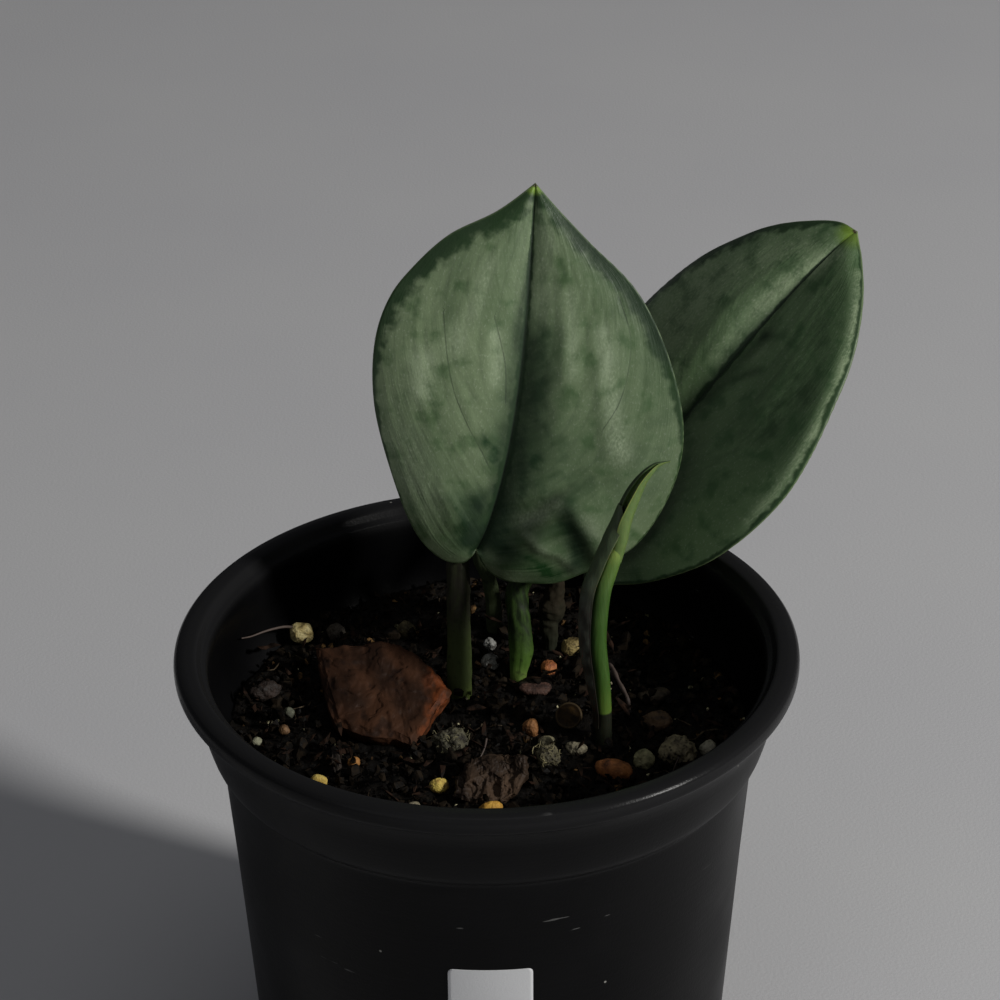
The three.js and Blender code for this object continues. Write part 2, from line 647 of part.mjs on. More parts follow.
function mixGeometry() {
  const taken = [];
  for (const { at, size } of Object.values(LUMPS)) taken.push([...at, Math.max(size[0], size[1]) / 2]);
  for (const { at, outline } of Object.values(BARK))
    for (const [x, y] of outline)
      for (const share of [0.3, 0.9]) taken.push([at[0] + share * x, at[1] + share * y, 3]);
  for (const rows of Object.values(STEMS)) taken.push([rows[1][0], rows[1][1], 2.6]);
  const sockets = [
    ...Object.values(LUMPS).map((lump) => lumpGeometry(lump, CLEARANCE)),
    ...Object.values(BARK).map((bark) => barkGeometry(bark, CLEARANCE)),
    ...Object.keys(STEMS)
      .filter((name) => name !== "rolled_leaf")
      .map(stemHole),
  ];
  const body = Manifold.union([mixBody(), ...grains(taken)]);
  return geometryOf(body.subtract(Manifold.union(sockets.map(solidOf))));
}

// The sheath of the new shoot is open at its top, where the rolled leaf stands in it.
function shootGeometry() {
  const socket = stemGeometry(STEMS.rolled_leaf, { sides: SLENDER_SIDES, grow: CLEARANCE });
  return geometryOf(solidOf(stem("new_shoot")).subtract(solidOf(socket)));
}

// The plant in its pot

const plant = new THREE.Group();
plant.name = "potted_moonlight_scindapsus";

function add(name, geometry, colour, roughness) {
  const material = new THREE.MeshStandardMaterial({ color: colour, roughness, metalness: 0 });
  const mesh = new THREE.Mesh(geometry, material);
  mesh.name = name;
  plant.add(mesh);
}

add("pot", potGeometry(), 0x17181a, 0.42);
add("pot_label", labelGeometry(), 0xc9ccd0, 0.6);
add("potting_mix", mixGeometry(), 0x1d1815, 0.95);
for (const [name, leaf] of Object.entries(LEAVES)) add(name, leafGeometry(leaf), leaf.colour, 0.38);
for (const [name, colour] of Object.entries(STEM_LOOKS))
  add(name, name === "new_shoot" ? shootGeometry() : stem(name), colour, 0.5);
for (const [name, bark] of Object.entries(BARK)) add(name, barkGeometry(bark), bark.colour, 0.85);
for (const [name, lump] of Object.entries(LUMPS)) add(name, lumpGeometry(lump), lump.colour, 0.9);

export default plant;
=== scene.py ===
# Potted moonlight scindapsus: a small aroid in gritty bark mix in a round black nursery pot.
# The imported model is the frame. Metres, +Z up, and the silver leaf faces -Y.

import math

import bmesh
import bpy
import numpy as np
from mathutils import Matrix, Vector, noise


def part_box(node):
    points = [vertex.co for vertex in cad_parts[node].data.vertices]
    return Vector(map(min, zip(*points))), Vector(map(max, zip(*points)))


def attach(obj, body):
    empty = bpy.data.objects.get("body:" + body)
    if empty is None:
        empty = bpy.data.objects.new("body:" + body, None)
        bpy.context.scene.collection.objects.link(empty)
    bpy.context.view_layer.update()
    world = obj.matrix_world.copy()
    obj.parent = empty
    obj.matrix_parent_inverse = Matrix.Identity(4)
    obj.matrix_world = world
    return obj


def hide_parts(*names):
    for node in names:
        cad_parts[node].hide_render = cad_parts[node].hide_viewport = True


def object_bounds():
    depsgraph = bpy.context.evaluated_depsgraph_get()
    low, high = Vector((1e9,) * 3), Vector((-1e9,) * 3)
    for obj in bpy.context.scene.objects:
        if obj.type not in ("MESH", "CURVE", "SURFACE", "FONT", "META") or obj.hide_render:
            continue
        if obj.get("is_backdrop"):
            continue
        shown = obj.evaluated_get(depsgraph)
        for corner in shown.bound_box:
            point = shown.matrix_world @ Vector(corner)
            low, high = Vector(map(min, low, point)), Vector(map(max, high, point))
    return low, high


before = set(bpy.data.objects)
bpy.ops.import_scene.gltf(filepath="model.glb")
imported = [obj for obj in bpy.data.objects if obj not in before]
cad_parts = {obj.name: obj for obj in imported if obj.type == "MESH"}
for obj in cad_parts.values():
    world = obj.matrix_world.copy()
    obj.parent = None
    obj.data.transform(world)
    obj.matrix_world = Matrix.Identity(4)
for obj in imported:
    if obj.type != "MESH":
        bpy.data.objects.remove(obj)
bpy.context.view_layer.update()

# Camera
# It stands in front of the pot and looks down on it by 30 degrees through a long lens.
# Its place was found from the pot's lip and outline in the photograph.

MM = 0.001
CAMERA_BACK = 611.2
CAMERA_UP = 485.6
LOOKS_DOWN = math.radians(29.73)
TURN = math.radians(-0.268)
ROLL = math.radians(-0.543)

camera = bpy.data.objects.new("camera", bpy.data.cameras.new("camera"))
camera.data.sensor_width = 36
camera.data.lens = 134.6
camera.location = (0, -CAMERA_BACK * MM, CAMERA_UP * MM)
aim = Matrix.Rotation(TURN, 3, "Z") @ Matrix.Rotation(math.pi / 2 - LOOKS_DOWN, 3, "X")
camera.rotation_euler = (aim @ Matrix.Rotation(ROLL, 3, "Z")).to_euler()
bpy.context.collection.objects.link(camera)
bpy.context.scene.camera = camera

# Floor and light
# A pale matt floor runs back past the view. The lamp stands low on the right, a little in front, so
# the pot shades the right of the mix. Weak wide lamps on the left and overhead fill the shadows.


def node(tree, kind, inputs=None, out=0, **settings):
    """Adds a node and gives one of its outputs. An input is a value or another node's output."""
    made = tree.nodes.new(kind)
    for name, value in settings.items():
        setattr(made, name, value)
    for key, value in (inputs or {}).items():
        if isinstance(value, bpy.types.NodeSocket):
            tree.links.new(value, made.inputs[key])
        else:
            made.inputs[key].default_value = value
    return made.outputs[out]


def tint(code):
    """A colour written as six hexadecimal digits, as the linear one that a shader takes."""
    parts = [int(code[i : i + 2], 16) / 255 for i in (0, 2, 4)]
    return (*[p / 12.92 if p < 0.04045 else ((p + 0.055) / 1.055) ** 2.4 for p in parts], 1)


def cloud(tree, size, detail=4.0, stretch=(1, 1, 1), place=None, shift=0.0):
    """Soft noise from 0 to 1 with features of that size in mm, on Object coordinates as a rule."""
    place = place or node(tree, "ShaderNodeTexCoord", out=3)
    scale = [s / (size * MM) for s in stretch]
    inputs = {"Vector": place, "Location": (shift, shift, shift), "Scale": scale}
    moved = node(tree, "ShaderNodeMapping", inputs)
    return node(tree, "ShaderNodeTexNoise", {"Vector": moved, "Scale": 1.0, "Detail": detail})


def slope(tree, value, start, end, low=0.0, high=1.0):
    """Runs smoothly from low to high as a value goes from start to end."""
    keys = ("Value", "From Min", "From Max", "To Min", "To Max")
    inputs = dict(zip(keys, (value, start, end, low, high)))
    return node(tree, "ShaderNodeMapRange", inputs, interpolation_type="SMOOTHSTEP")


def mix(tree, share, low, high):
    """Goes from the colour low to the colour high."""
    return node(tree, "ShaderNodeMix", {0: share, 6: low, 7: high}, out=2, data_type="RGBA")


def sum_of(tree, first, second, way="ADD"):
    """The sum of two values, or what another way of maths makes of them."""
    return node(tree, "ShaderNodeMath", {0: first, 1: second}, operation=way)


def finish(name, paint, **even):
    """A material. paint(tree) gives its colour, roughness, relief and the relief's depth in mm."""
    made = bpy.data.materials.new(name)
    made.use_nodes = True
    tree = made.node_tree
    shader = tree.nodes["Principled BSDF"]
    colour, rough, relief, depth = paint(tree)
    tree.links.new(colour, shader.inputs["Base Color"])
    tree.links.new(rough, shader.inputs["Roughness"])
    bump = node(tree, "ShaderNodeBump", {"Height": relief, "Distance": depth * MM, "Strength": 1.0})
    tree.links.new(bump, shader.inputs["Normal"])
    for socket, value in even.items():
        shader.inputs[socket.replace("_", " ")].default_value = value
    return made


def floor_paint(tree):
    soft = cloud(tree, 90, detail=3)
    fine = cloud(tree, 0.8, detail=2)
    return mix(tree, soft, tint("d6d6da"), tint("dededf")), slope(tree, soft, 0, 1, 0.8, 0.9), fine, 0.05


FLOOR_REACH = 3.5
LAMPS_AIM_AT = 120
floor = bpy.data.objects.new("floor", bpy.data.meshes.new("floor"))
corners = [(x * FLOOR_REACH, y * FLOOR_REACH, 0) for x, y in ((-1, -1), (1, -1), (1, 1), (-1, 1))]
floor.data.from_pydata(corners, [], [(0, 1, 2, 3)])
floor.data.materials.append(finish("pale_floor", floor_paint))
bpy.context.collection.objects.link(floor)
floor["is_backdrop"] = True


def lamp(name, right, up, distance, size, watts, colour):
    """A round soft lamp that faces the plant, turned by degrees to the right of the front and up."""
    light = bpy.data.lights.new(name, "AREA")
    light.shape = "DISK"
    light.size = size
    light.energy = watts
    light.color = colour
    made = bpy.data.objects.new(name, light)
    turn, lift = math.radians(right), math.radians(up)
    way = Vector((math.sin(turn) * math.cos(lift), -math.cos(turn) * math.cos(lift), math.sin(lift)))
    made.location = way * distance + Vector((0, 0, LAMPS_AIM_AT * MM))
    made.rotation_euler = way.to_track_quat("Z", "Y").to_euler()
    bpy.context.collection.objects.link(made)


lamp("key_lamp", right=65, up=28.5, distance=2.1, size=0.26, watts=31.5, colour=(1, 0.985, 0.95))
lamp("side_lamp", right=-35, up=30, distance=1.7, size=1.0, watts=0.9, colour=(0.95, 0.97, 1))
lamp("top_lamp", right=20, up=80, distance=1.5, size=0.9, watts=1.1, colour=(0.98, 0.99, 1))
sky = bpy.data.worlds.new("sky")
sky.use_nodes = True
sky.node_tree.nodes["Background"].inputs["Color"].default_value = (0.55, 0.56, 0.6, 1)
sky.node_tree.nodes["Background"].inputs["Strength"].default_value = 0.1
bpy.context.scene.world = sky
bpy.context.scene.view_settings.view_transform = "Standard"

# Pot
# A round nursery pot, one thin moulding of black plastic with a rolled lip, a flared collar and a
# step. It is turned from its outline, and its drain holes are cut through the floor.

HEIGHT = 105
# Radius and depth below the rim: outside from the lip down, then inside from the floor up.
OUTSIDE = [
    (59.4, 0.1), (60, 0.8), (60.2, 2), (60, 3.2), (59.2, 3.8), (58.1, 4.7), (56.6, 8), (55.7, 11.5),
    (54.8, 15), (53.8, 18.1), (53.2, 18.9), (52, 20.2), (51.7, 21.3), (44.8, 103.6), (44.2, 104.7),
    (43.4, 105),
]
INSIDE = [
    (42.9, 102.8), (43.8, 101.8), (50.4, 20.9), (52.1, 18.1), (53.4, 14.5), (53.9, 2.4), (54.9, 1.7),
    (55.5, 0.8), (56, 0.15), (57.75, 0),
]
DRAIN_HOLES = 8
DRAIN_RADIUS = 4
DRAIN_CIRCLE = 34


def on_line(rows, shares):
    """Points at shares, from 0 to 1, of a smooth line through rows whose first columns are a place."""
    rows = np.asarray(rows, float)
    rows = np.vstack([2 * rows[0] - rows[1], rows, 2 * rows[-1] - rows[-2]])
    spot = np.clip(np.asarray(shares, float), 0, 1) * (len(rows) - 3)
    first = np.minimum(spot.astype(int), len(rows) - 4)
    t = (spot - first)[:, None]
    p0, p1, p2, p3 = (rows[first + k] for k in range(4))

    # The curve's pace follows the root of each gap, so it doesn't loop where rows are close.
    def gap(a, b):
        return np.maximum(np.linalg.norm((b - a)[:, :3], axis=1), 1e-6)[:, None] ** 0.5

    d0, d1, d2 = gap(p0, p1), gap(p1, p2), gap(p2, p3)
    m1 = ((p1 - p0) / d0 - (p2 - p0) / (d0 + d1) + (p2 - p1) / d1) * d1
    m2 = ((p2 - p1) / d1 - (p3 - p1) / (d1 + d2) + (p3 - p2) / d2) * d1
    bend = (-3 * p1 + 3 * p2 - 2 * m1 - m2) * t**2 + (2 * p1 - 2 * p2 + m1 + m2) * t**3
    return p1 + m1 * t + bend


def piece(name, points, faces, flat=False):
    """A new mesh object at the origin, from points in mm."""
    mesh = bpy.data.meshes.new(name)
    mesh.from_pydata((np.asarray(points, float) * MM).tolist(), [], faces)
    mesh.polygons.foreach_set("use_smooth", [not flat] * len(mesh.polygons))
    made = bpy.data.objects.new(name, mesh)
    bpy.context.collection.objects.link(made)
    return made


def seat(made, material, slot, *nodes):
    """Gives a piece its finish, sets it on the one body, and lets it stand for CAD nodes."""
    made.data.materials.clear()
    made.data.materials.append(material)
    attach(made, "root")
    if nodes:
        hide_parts(*nodes)


def turned(outline, sides):
    """Points and faces of an outline of radius and height, turned round +Z. Its ends lie on the axis."""
    angles = np.arange(sides) * 2 * math.pi / sides
    body = np.array(outline[1:-1])
    ring = np.stack([np.cos(angles), np.sin(angles)], 1)
    points = [(0, 0, outline[0][1])]
    for radius, z in body:
        points += [(radius * x, radius * y, z) for x, y in ring]
    points.append((0, 0, outline[-1][1]))
    faces = []
    last = len(points) - 1
    for i in range(sides):
        j = (i + 1) % sides
        faces.append((0, 1 + j, 1 + i))
        for r in range(len(body) - 1):
            a, b = 1 + r * sides, 1 + (r + 1) * sides
            faces.append((a + i, a + j, b + j, b + i))
        faces.append((last, last - sides + i, last - sides + j))
    return points, faces


def rounded(rows, steps=3):
    """The rows with smooth turns between them. Long straight runs stay as they are."""
    shares = np.linspace(0, 1, (len(rows) - 1) * steps + 1)
    return on_line(rows, shares).tolist()


def settled(made):
    """Applies a piece's modifiers to its mesh."""
    bpy.context.view_layer.update()
    graph = bpy.context.evaluated_depsgraph_get()
    mesh = bpy.data.meshes.new_from_object(made.evaluated_get(graph))
    made.modifiers.clear()
    made.data = mesh


outline = [(0, HEIGHT)] + rounded(OUTSIDE[::-1]) + rounded(INSIDE[::-1]) + [(0, INSIDE[0][1])]
pot = piece("pot_moulding", *turned([(r, HEIGHT - depth) for r, depth in outline], sides=160))
bit_outline = [(0, -5), (DRAIN_RADIUS, -5), (DRAIN_RADIUS, 10), (0, 10)]
bit_points, bit_faces = turned(bit_outline, sides=32)
drill_points, drill_faces = [], []
for hole in range(DRAIN_HOLES):
    angle = (hole + 0.5) / DRAIN_HOLES * 2 * math.pi
    x, y = DRAIN_CIRCLE * math.cos(angle), DRAIN_CIRCLE * math.sin(angle)
    first = len(drill_points)
    drill_points += [(px + x, py + y, pz) for px, py, pz in bit_points]
    drill_faces += [tuple(first + k for k in face) for face in bit_faces]
drill = piece("drill", drill_points, drill_faces)
cut = pot.modifiers.new("drain_holes", "BOOLEAN")
cut.operation = "DIFFERENCE"
cut.object = drill
settled(pot)
bpy.data.objects.remove(drill)


def plastic_paint(tree):
    """Black plastic: dusty in places, with rings from the mould and a few pale scuffs. It is
    lighter and glossier at the lip.
    """
    dust = cloud(tree, 26, detail=5)
    grain = cloud(tree, 0.5, detail=2)
    place = node(tree, "ShaderNodeTexCoord", out=3)
    height = node(tree, "ShaderNodeSeparateXYZ", {"Vector": place}, out=2)
    bands = {"W": height, "Scale": 700.0, "Detail": 2.0}
    rings = node(tree, "ShaderNodeTexNoise", bands, noise_dimensions="1D")
    streak = cloud(tree, 9, detail=2, stretch=(1, 1, 7), shift=3.0)
    patchy = cloud(tree, 38, detail=2, shift=11.0)
    scuff = sum_of(tree, slope(tree, streak, 0.72, 0.75), slope(tree, patchy, 0.5, 0.6), "MULTIPLY")
    cells = node(tree, "ShaderNodeTexVoronoi", {"Vector": place, "Scale": 110.0}, out=0)
    fleck = slope(tree, cells, 0.035, 0.02)
    wall = mix(tree, slope(tree, dust, 0.3, 0.8), tint("070708"), tint("0f0f10"))
    rim = slope(tree, height, 100.5 * MM, 104 * MM)
    base = mix(tree, rim, wall, tint("202021"))
    marked = mix(tree, sum_of(tree, scuff, 0.35, "MULTIPLY"), base, tint("8a8a88"))
    colour = mix(tree, sum_of(tree, fleck, 0.6, "MULTIPLY"), marked, tint("b5b3ac"))
    rough = sum_of(tree, slope(tree, dust, 0.25, 0.8, 0.34, 0.5), sum_of(tree, rim, -0.17, "MULTIPLY"))
    relief = sum_of(tree, sum_of(tree, grain, 0.5, "MULTIPLY"), sum_of(tree, rings, 0.3, "MULTIPLY"))
    return colour, rough, relief, 0.06


seat(pot, finish("black_plastic", plastic_paint, Specular_IOR_Level=0.09), "pot_plastic", "pot")

# Label
# A blank white paper sticker low on the pot's front. It follows the cone of the wall, and its
# corners are rounded.

LABEL_WIDTH = 16
LABEL_HEIGHT = 25
LABEL_TOP = 64.4
LABEL_CORNER = 0.9
LABEL_THICK = 0.16
LABEL_GAP = 0.04
LABEL_GRID = 24


def sheet(name, front, back):
    """A closed thin sheet from two grids of points, one for each face."""
    front, back = np.asarray(front, float), np.asarray(back, float)
    rows, columns = front.shape[:2]
    count = rows * columns
    faces = []
    for r in range(rows - 1):
        for c in range(columns - 1):
            a = r * columns + c
            face = (a, a + 1, a + columns + 1, a + columns)
            faces += [face, tuple(count + k for k in face[::-1])]
    rim = list(range(columns)) + [r * columns + columns - 1 for r in range(1, rows)]
    rim += list(range(rows * columns - 2, (rows - 1) * columns - 1, -1))
    rim += [r * columns for r in range(rows - 2, 0, -1)]
    for a, b in zip(rim, rim[1:] + rim[:1]):
        faces.append((b, a, count + a, count + b))
    made = piece(name, np.vstack([front.reshape(-1, 3), back.reshape(-1, 3)]), faces)
    shell = bmesh.new()
    shell.from_mesh(made.data)
    bmesh.ops.recalc_face_normals(shell, faces=shell.faces)
    shell.to_mesh(made.data)
    shell.free()
    return made


def on_wall(x, y, proud):
    """The place on the pot's front at x mm along the wall and y mm above the sticker's middle."""
    z = LABEL_TOP - LABEL_HEIGHT / 2 + y
    (upper_radius, upper), (lower_radius, lower) = OUTSIDE[12:14]
    radius = proud + np.interp(HEIGHT - z, [upper, lower], [upper_radius, lower_radius])
    return (radius * math.sin(x / radius), -radius * math.cos(x / radius), z)


label_faces = []
for proud in (LABEL_THICK + LABEL_GAP, LABEL_GAP):
    label_faces.append([])
    for row in range(LABEL_GRID + 1):
        y = LABEL_HEIGHT * math.sin((row / LABEL_GRID - 0.5) * math.pi) / 2
        short = max(0, abs(y) - (LABEL_HEIGHT / 2 - LABEL_CORNER))
        half = LABEL_WIDTH / 2 - LABEL_CORNER + math.sqrt(max(0, LABEL_CORNER**2 - short**2))
        steps = np.linspace(-half, half, LABEL_GRID + 1)
        label_faces[-1].append([on_wall(x, y, proud) for x in steps])
label = sheet("pot_sticker", *label_faces)


def paper_paint(tree):
    fibre = cloud(tree, 0.4, detail=5)
    stain = cloud(tree, 12, detail=3)
    return mix(tree, stain, tint("d3d4d6"), tint("dddee0")), slope(tree, fibre, 0, 1, 0.5, 0.7), fibre, 0.03


seat(label, finish("blank_paper", paper_paint), "label_paper", "pot_label")

# Potting mix
# Bark fines and grit fill the pot to below its collar. The body is one uneven solid, and loose
# grains of several kinds are strewn over its top where nothing larger lies.

MIX_LEVEL = 85
MIX_BACK_RISE = 0.07
MIX_GAP = 0.15
MIX_FOOT_GAP = 1.2
MIX_SIDE_LEVELS = (60, 20, 5, 2.5)
MIX_SINK = 0.5
MIX_CRUMBS = 0.9
MIX_CLODS = 0.7
MIX_SECTORS = 220
MIX_RINGS = 90


def ground(x, y):
    """Height of the mix in mm, as in the CAD model."""
    lumps = 0.45 * math.sin(0.33 * x + 1.1) * math.cos(0.29 * y) + 0.25 * math.sin(0.71 * y - 0.4 * x)
    return MIX_LEVEL + MIX_BACK_RISE * max(0, y) + lumps


def inner_radius(z):
    """The pot's inner radius at that height, in mm."""
    rows = sorted((HEIGHT - depth, radius) for radius, depth in INSIDE)
    return float(np.interp(z, [row[0] for row in rows], [row[1] for row in rows]))


mix_reach = inner_radius(MIX_LEVEL) - MIX_GAP
mix_points = []
for r in range(MIX_RINGS, 0, -1):
    for k in range(MIX_SECTORS):
        angle = 2 * math.pi * k / MIX_SECTORS
        reach = mix_reach * r / MIX_RINGS
        x, y = reach * math.cos(angle), reach * math.sin(angle)
        crumbs = noise.fractal(Vector((x, y, 3.1)) * 0.45, 0.9, 2.1, 5)
        clods = noise.noise(Vector((x, y, 0)) * 0.16)
        rise = MIX_CRUMBS * crumbs + MIX_CLODS * clods - MIX_SINK
        mix_points.append((x, y, ground(x, y) + rise))
mix_points.append((0, 0, ground(0, 0)))
for z in MIX_SIDE_LEVELS:
    reach = inner_radius(z) - (MIX_FOOT_GAP if z == MIX_SIDE_LEVELS[-1] else MIX_GAP)
    for k in range(MIX_SECTORS):
        angle = 2 * math.pi * k / MIX_SECTORS
        mix_points.append((reach * math.cos(angle), reach * math.sin(angle), z))
mix_points.append((0, 0, MIX_SIDE_LEVELS[-1]))
mix_faces = []
centre = MIX_RINGS * MIX_SECTORS
under = len(mix_points) - 1
rims = [0] + [centre + 1 + level * MIX_SECTORS for level in range(len(MIX_SIDE_LEVELS))]
for k in range(MIX_SECTORS):
    j = (k + 1) % MIX_SECTORS
    for r in range(MIX_RINGS - 1):
        a, b = r * MIX_SECTORS, (r + 1) * MIX_SECTORS
        mix_faces.append((a + k, a + j, b + j, b + k))
    mix_faces.append((centre - MIX_SECTORS + k, centre - MIX_SECTORS + j, centre))
    for a, b in zip(rims, rims[1:]):
        mix_faces.append((a + k, b + k, b + j, a + j))
    mix_faces.append((rims[-1] + k, under, rims[-1] + j))
soil = piece("mix_body", mix_points, mix_faces)


def soil_paint(tree):
    """Damp fines: near black, brown where they are drier, with wet glints."""
    clod = cloud(tree, 4.5, detail=6)
    crumb = cloud(tree, 0.9, detail=5, shift=7.0)
    damp = mix(tree, slope(tree, clod, 0.35, 0.7), tint("090807"), tint("14110e"))
    colour = mix(tree, slope(tree, crumb, 0.55, 0.75), damp, tint("1e1913"))
    return colour, slope(tree, crumb, 0.3, 0.7, 0.95, 0.5), crumb, 0.5


seat(soil, finish("damp_fines", soil_paint, Specular_IOR_Level=0.1), "potting_mix", "potting_mix")

# What lies or stands on the mix keeps the loose grains away: 1 is open mix and 0 is covered.
LIES_ON_TOP = ("bark_large", "bark_front", "pebble", "pumice", "pale", "stone", "seed")
COVERED_SHARE = 0.92
PLANT_FEET = [(-5.5, 13), (6.2, 17.7), (1.6, 34.8), (12.8, 27.7), (22.5, -4.2)]
FOOT_CLEARANCE = 2.6
HUSK_CLEARANCE = 4.8
HUSK_LEANS_OUT = 1
WALL_CLEARANCE = 0.8

open_share = soil.data.attributes.new("open", "FLOAT", "POINT")
open_reach = (inner_radius(MIX_LEVEL) - WALL_CLEARANCE) * MM
lying = [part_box(n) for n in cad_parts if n.startswith(LIES_ON_TOP)]
covers = [((low + high) / 2, (high - low) / 2) for low, high in lying]
low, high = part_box("seed_husk")
husk_x, husk_y = (low.x + high.x) / 2, (low.y + high.y) / 2 - HUSK_LEANS_OUT * MM
for index, vertex in enumerate(soil.data.vertices):
    x, y, z = vertex.co
    free = z > (MIX_LEVEL - 4) * MM and math.hypot(x, y) < open_reach
    for middle, half in covers:
        if math.hypot((x - middle.x) / half.x, (y - middle.y) / half.y) < COVERED_SHARE:
            free = False
    if math.hypot(x - husk_x, y - husk_y) < HUSK_CLEARANCE * MM:
        free = False
    for foot_x, foot_y in PLANT_FEET:
        if math.hypot(x - foot_x * MM, y - foot_y * MM) < FOOT_CLEARANCE * MM:
            free = False
    open_share.data[index].value = float(free)


def strewing_tree():
    """A tree that strews a collection over a mesh. Density is a square metre, sizes in metres."""
    tree = bpy.data.node_groups.new("strewn_grains", "GeometryNodeTree")
    sockets = [
        ("Ground", "NodeSocketGeometry"), ("Grains", "NodeSocketCollection"),
        ("Density", "NodeSocketFloat"), ("Smallest", "NodeSocketFloat"), ("Largest", "NodeSocketFloat"),
        ("Tilt", "NodeSocketFloat"), ("Lift", "NodeSocketFloat"), ("Seed", "NodeSocketInt"),
        ("Finish", "NodeSocketMaterial"),
    ]
    for name, kind in sockets:
        tree.interface.new_socket(name, in_out="INPUT", socket_type=kind)
    tree.interface.new_socket("Strewn", in_out="OUTPUT", socket_type="NodeSocketGeometry")
    given = tree.nodes.new("NodeGroupInput").outputs
    free = node(tree, "GeometryNodeInputNamedAttribute", {"Name": "open"}, data_type="FLOAT")
    density = sum_of(tree, free, given["Density"], "MULTIPLY")
    spread = {"Mesh": given["Ground"], "Density": density, "Seed": given["Seed"]}
    points = node(tree, "GeometryNodeDistributePointsOnFaces", spread)
    tilt_back = sum_of(tree, given["Tilt"], -1.0, "MULTIPLY")
    least = node(tree, "ShaderNodeCombineXYZ", {"X": tilt_back, "Y": tilt_back, "Z": -math.pi})
    most = node(tree, "ShaderNodeCombineXYZ", {"X": given["Tilt"], "Y": given["Tilt"], "Z": math.pi})
    turn_range = {"Min": least, "Max": most, "Seed": sum_of(tree, given["Seed"], 1.0)}
    turn = node(tree, "FunctionNodeRandomValue", turn_range, data_type="FLOAT_VECTOR")
    draw = node(tree, "FunctionNodeRandomValue", {"Seed": sum_of(tree, given["Seed"], 2.0)}, out=1)
    share = sum_of(tree, draw, 2.2, "POWER")
    keys = ("Value", "To Min", "To Max")
    size = node(tree, "ShaderNodeMapRange", dict(zip(keys, (share, given["Smallest"], given["Largest"]))))
    sink = node(tree, "FunctionNodeRandomValue", {"Seed": sum_of(tree, given["Seed"], 3.0)}, out=1)
    rise = sum_of(tree, sum_of(tree, sink, given["Lift"], "MULTIPLY"), size, "MULTIPLY")
    offset = node(tree, "ShaderNodeCombineXYZ", {"Z": rise})
    lifted = node(tree, "GeometryNodeSetPosition", {"Geometry": points, "Offset": offset})
    picked = {"Collection": given["Grains"], "Separate Children": True, "Reset Children": True}
    grains = node(tree, "GeometryNodeCollectionInfo", picked)
    rotation = node(tree, "FunctionNodeEulerToRotation", {"Euler": turn})
    put = {"Points": lifted, "Instance": grains, "Pick Instance": True, "Rotation": rotation, "Scale": size}
    instances = node(tree, "GeometryNodeInstanceOnPoints", put)
    real = node(tree, "GeometryNodeRealizeInstances", {"Geometry": instances})
    dressed = node(tree, "GeometryNodeSetMaterial", {"Geometry": real, "Material": given["Finish"]})
    tree.links.new(dressed, tree.nodes.new("NodeGroupOutput").inputs["Strewn"])
    return tree


def crumb_shape(draw, corners, squash):
    """Corners and faces of one angular grain, 1 mm across, from the hull of random points."""
    hull = bmesh.new()
    for _ in range(corners):
        way = Vector(draw.normal(size=3)).normalized() * draw.uniform(0.36, 0.5)
        hull.verts.new([way[k] * squash[k] for k in range(3)])
    bmesh.ops.convex_hull(hull, input=hull.verts)
    for vertex in [v for v in hull.verts if not v.link_faces]:
        hull.verts.remove(vertex)
    bmesh.ops.recalc_face_normals(hull, faces=hull.faces)
    hull.verts.index_update()
    shape = [tuple(v.co) for v in hull.verts], [[v.index for v in f.verts] for f in hull.faces]
    hull.free()
    return shape


def swept(centres, radii, sides):
    """Points and faces of a closed tube. Radii are one for each centre, or a width and a depth."""
    centres = np.asarray(centres, float)
    radii = np.broadcast_to(np.asarray(radii, float).reshape(len(centres), -1), (len(centres), 2))
    tangents = np.gradient(centres, axis=0)
    tangents /= np.linalg.norm(tangents, axis=1)[:, None]
    guide = np.array([1.0, 0, 0]) if abs(tangents[len(centres) // 2, 0]) < 0.9 else np.array([0, 1.0, 0])
    side = guide - (tangents @ guide)[:, None] * tangents
    side /= np.linalg.norm(side, axis=1)[:, None]
    front = np.cross(tangents, side)
    angles = np.arange(sides) * 2 * math.pi / sides
    across = side[:, None] * (radii[:, None, :1] * np.cos(angles)[None, :, None])
    ahead = front[:, None] * (radii[:, None, 1:] * np.sin(angles)[None, :, None])
    rings = (centres[:, None] + across + ahead).reshape(-1, 3)
    points = np.vstack([rings, centres[:1], centres[-1:]]).tolist()
    faces = []
    foot, top = len(points) - 2, len(points) - 1
    for k in range(sides):
        j = (k + 1) % sides
        faces.append((foot, j, k))
        for r in range(len(centres) - 1):
            a, b = r * sides, (r + 1) * sides
            faces.append((a + k, a + j, b + j, b + k))
        faces.append((top, top - 1 - sides + k, top - 1 - sides + j))
    return points, faces


def thread_shape(draw, bend, thick, steps, sides):
    """One bent thread, 1 mm from end to end."""
    shares = np.linspace(0, 1, 5)
    rows = np.stack([shares - 0.5, draw.uniform(-bend, bend, 5), draw.uniform(-bend, bend, 5) * 0.6], 1)
    centres = on_line(rows, np.linspace(0, 1, steps))
    radii = thick * (1 - 0.6 * np.abs(np.linspace(-1, 1, steps)) ** 3)
    return swept(centres, radii, sides)


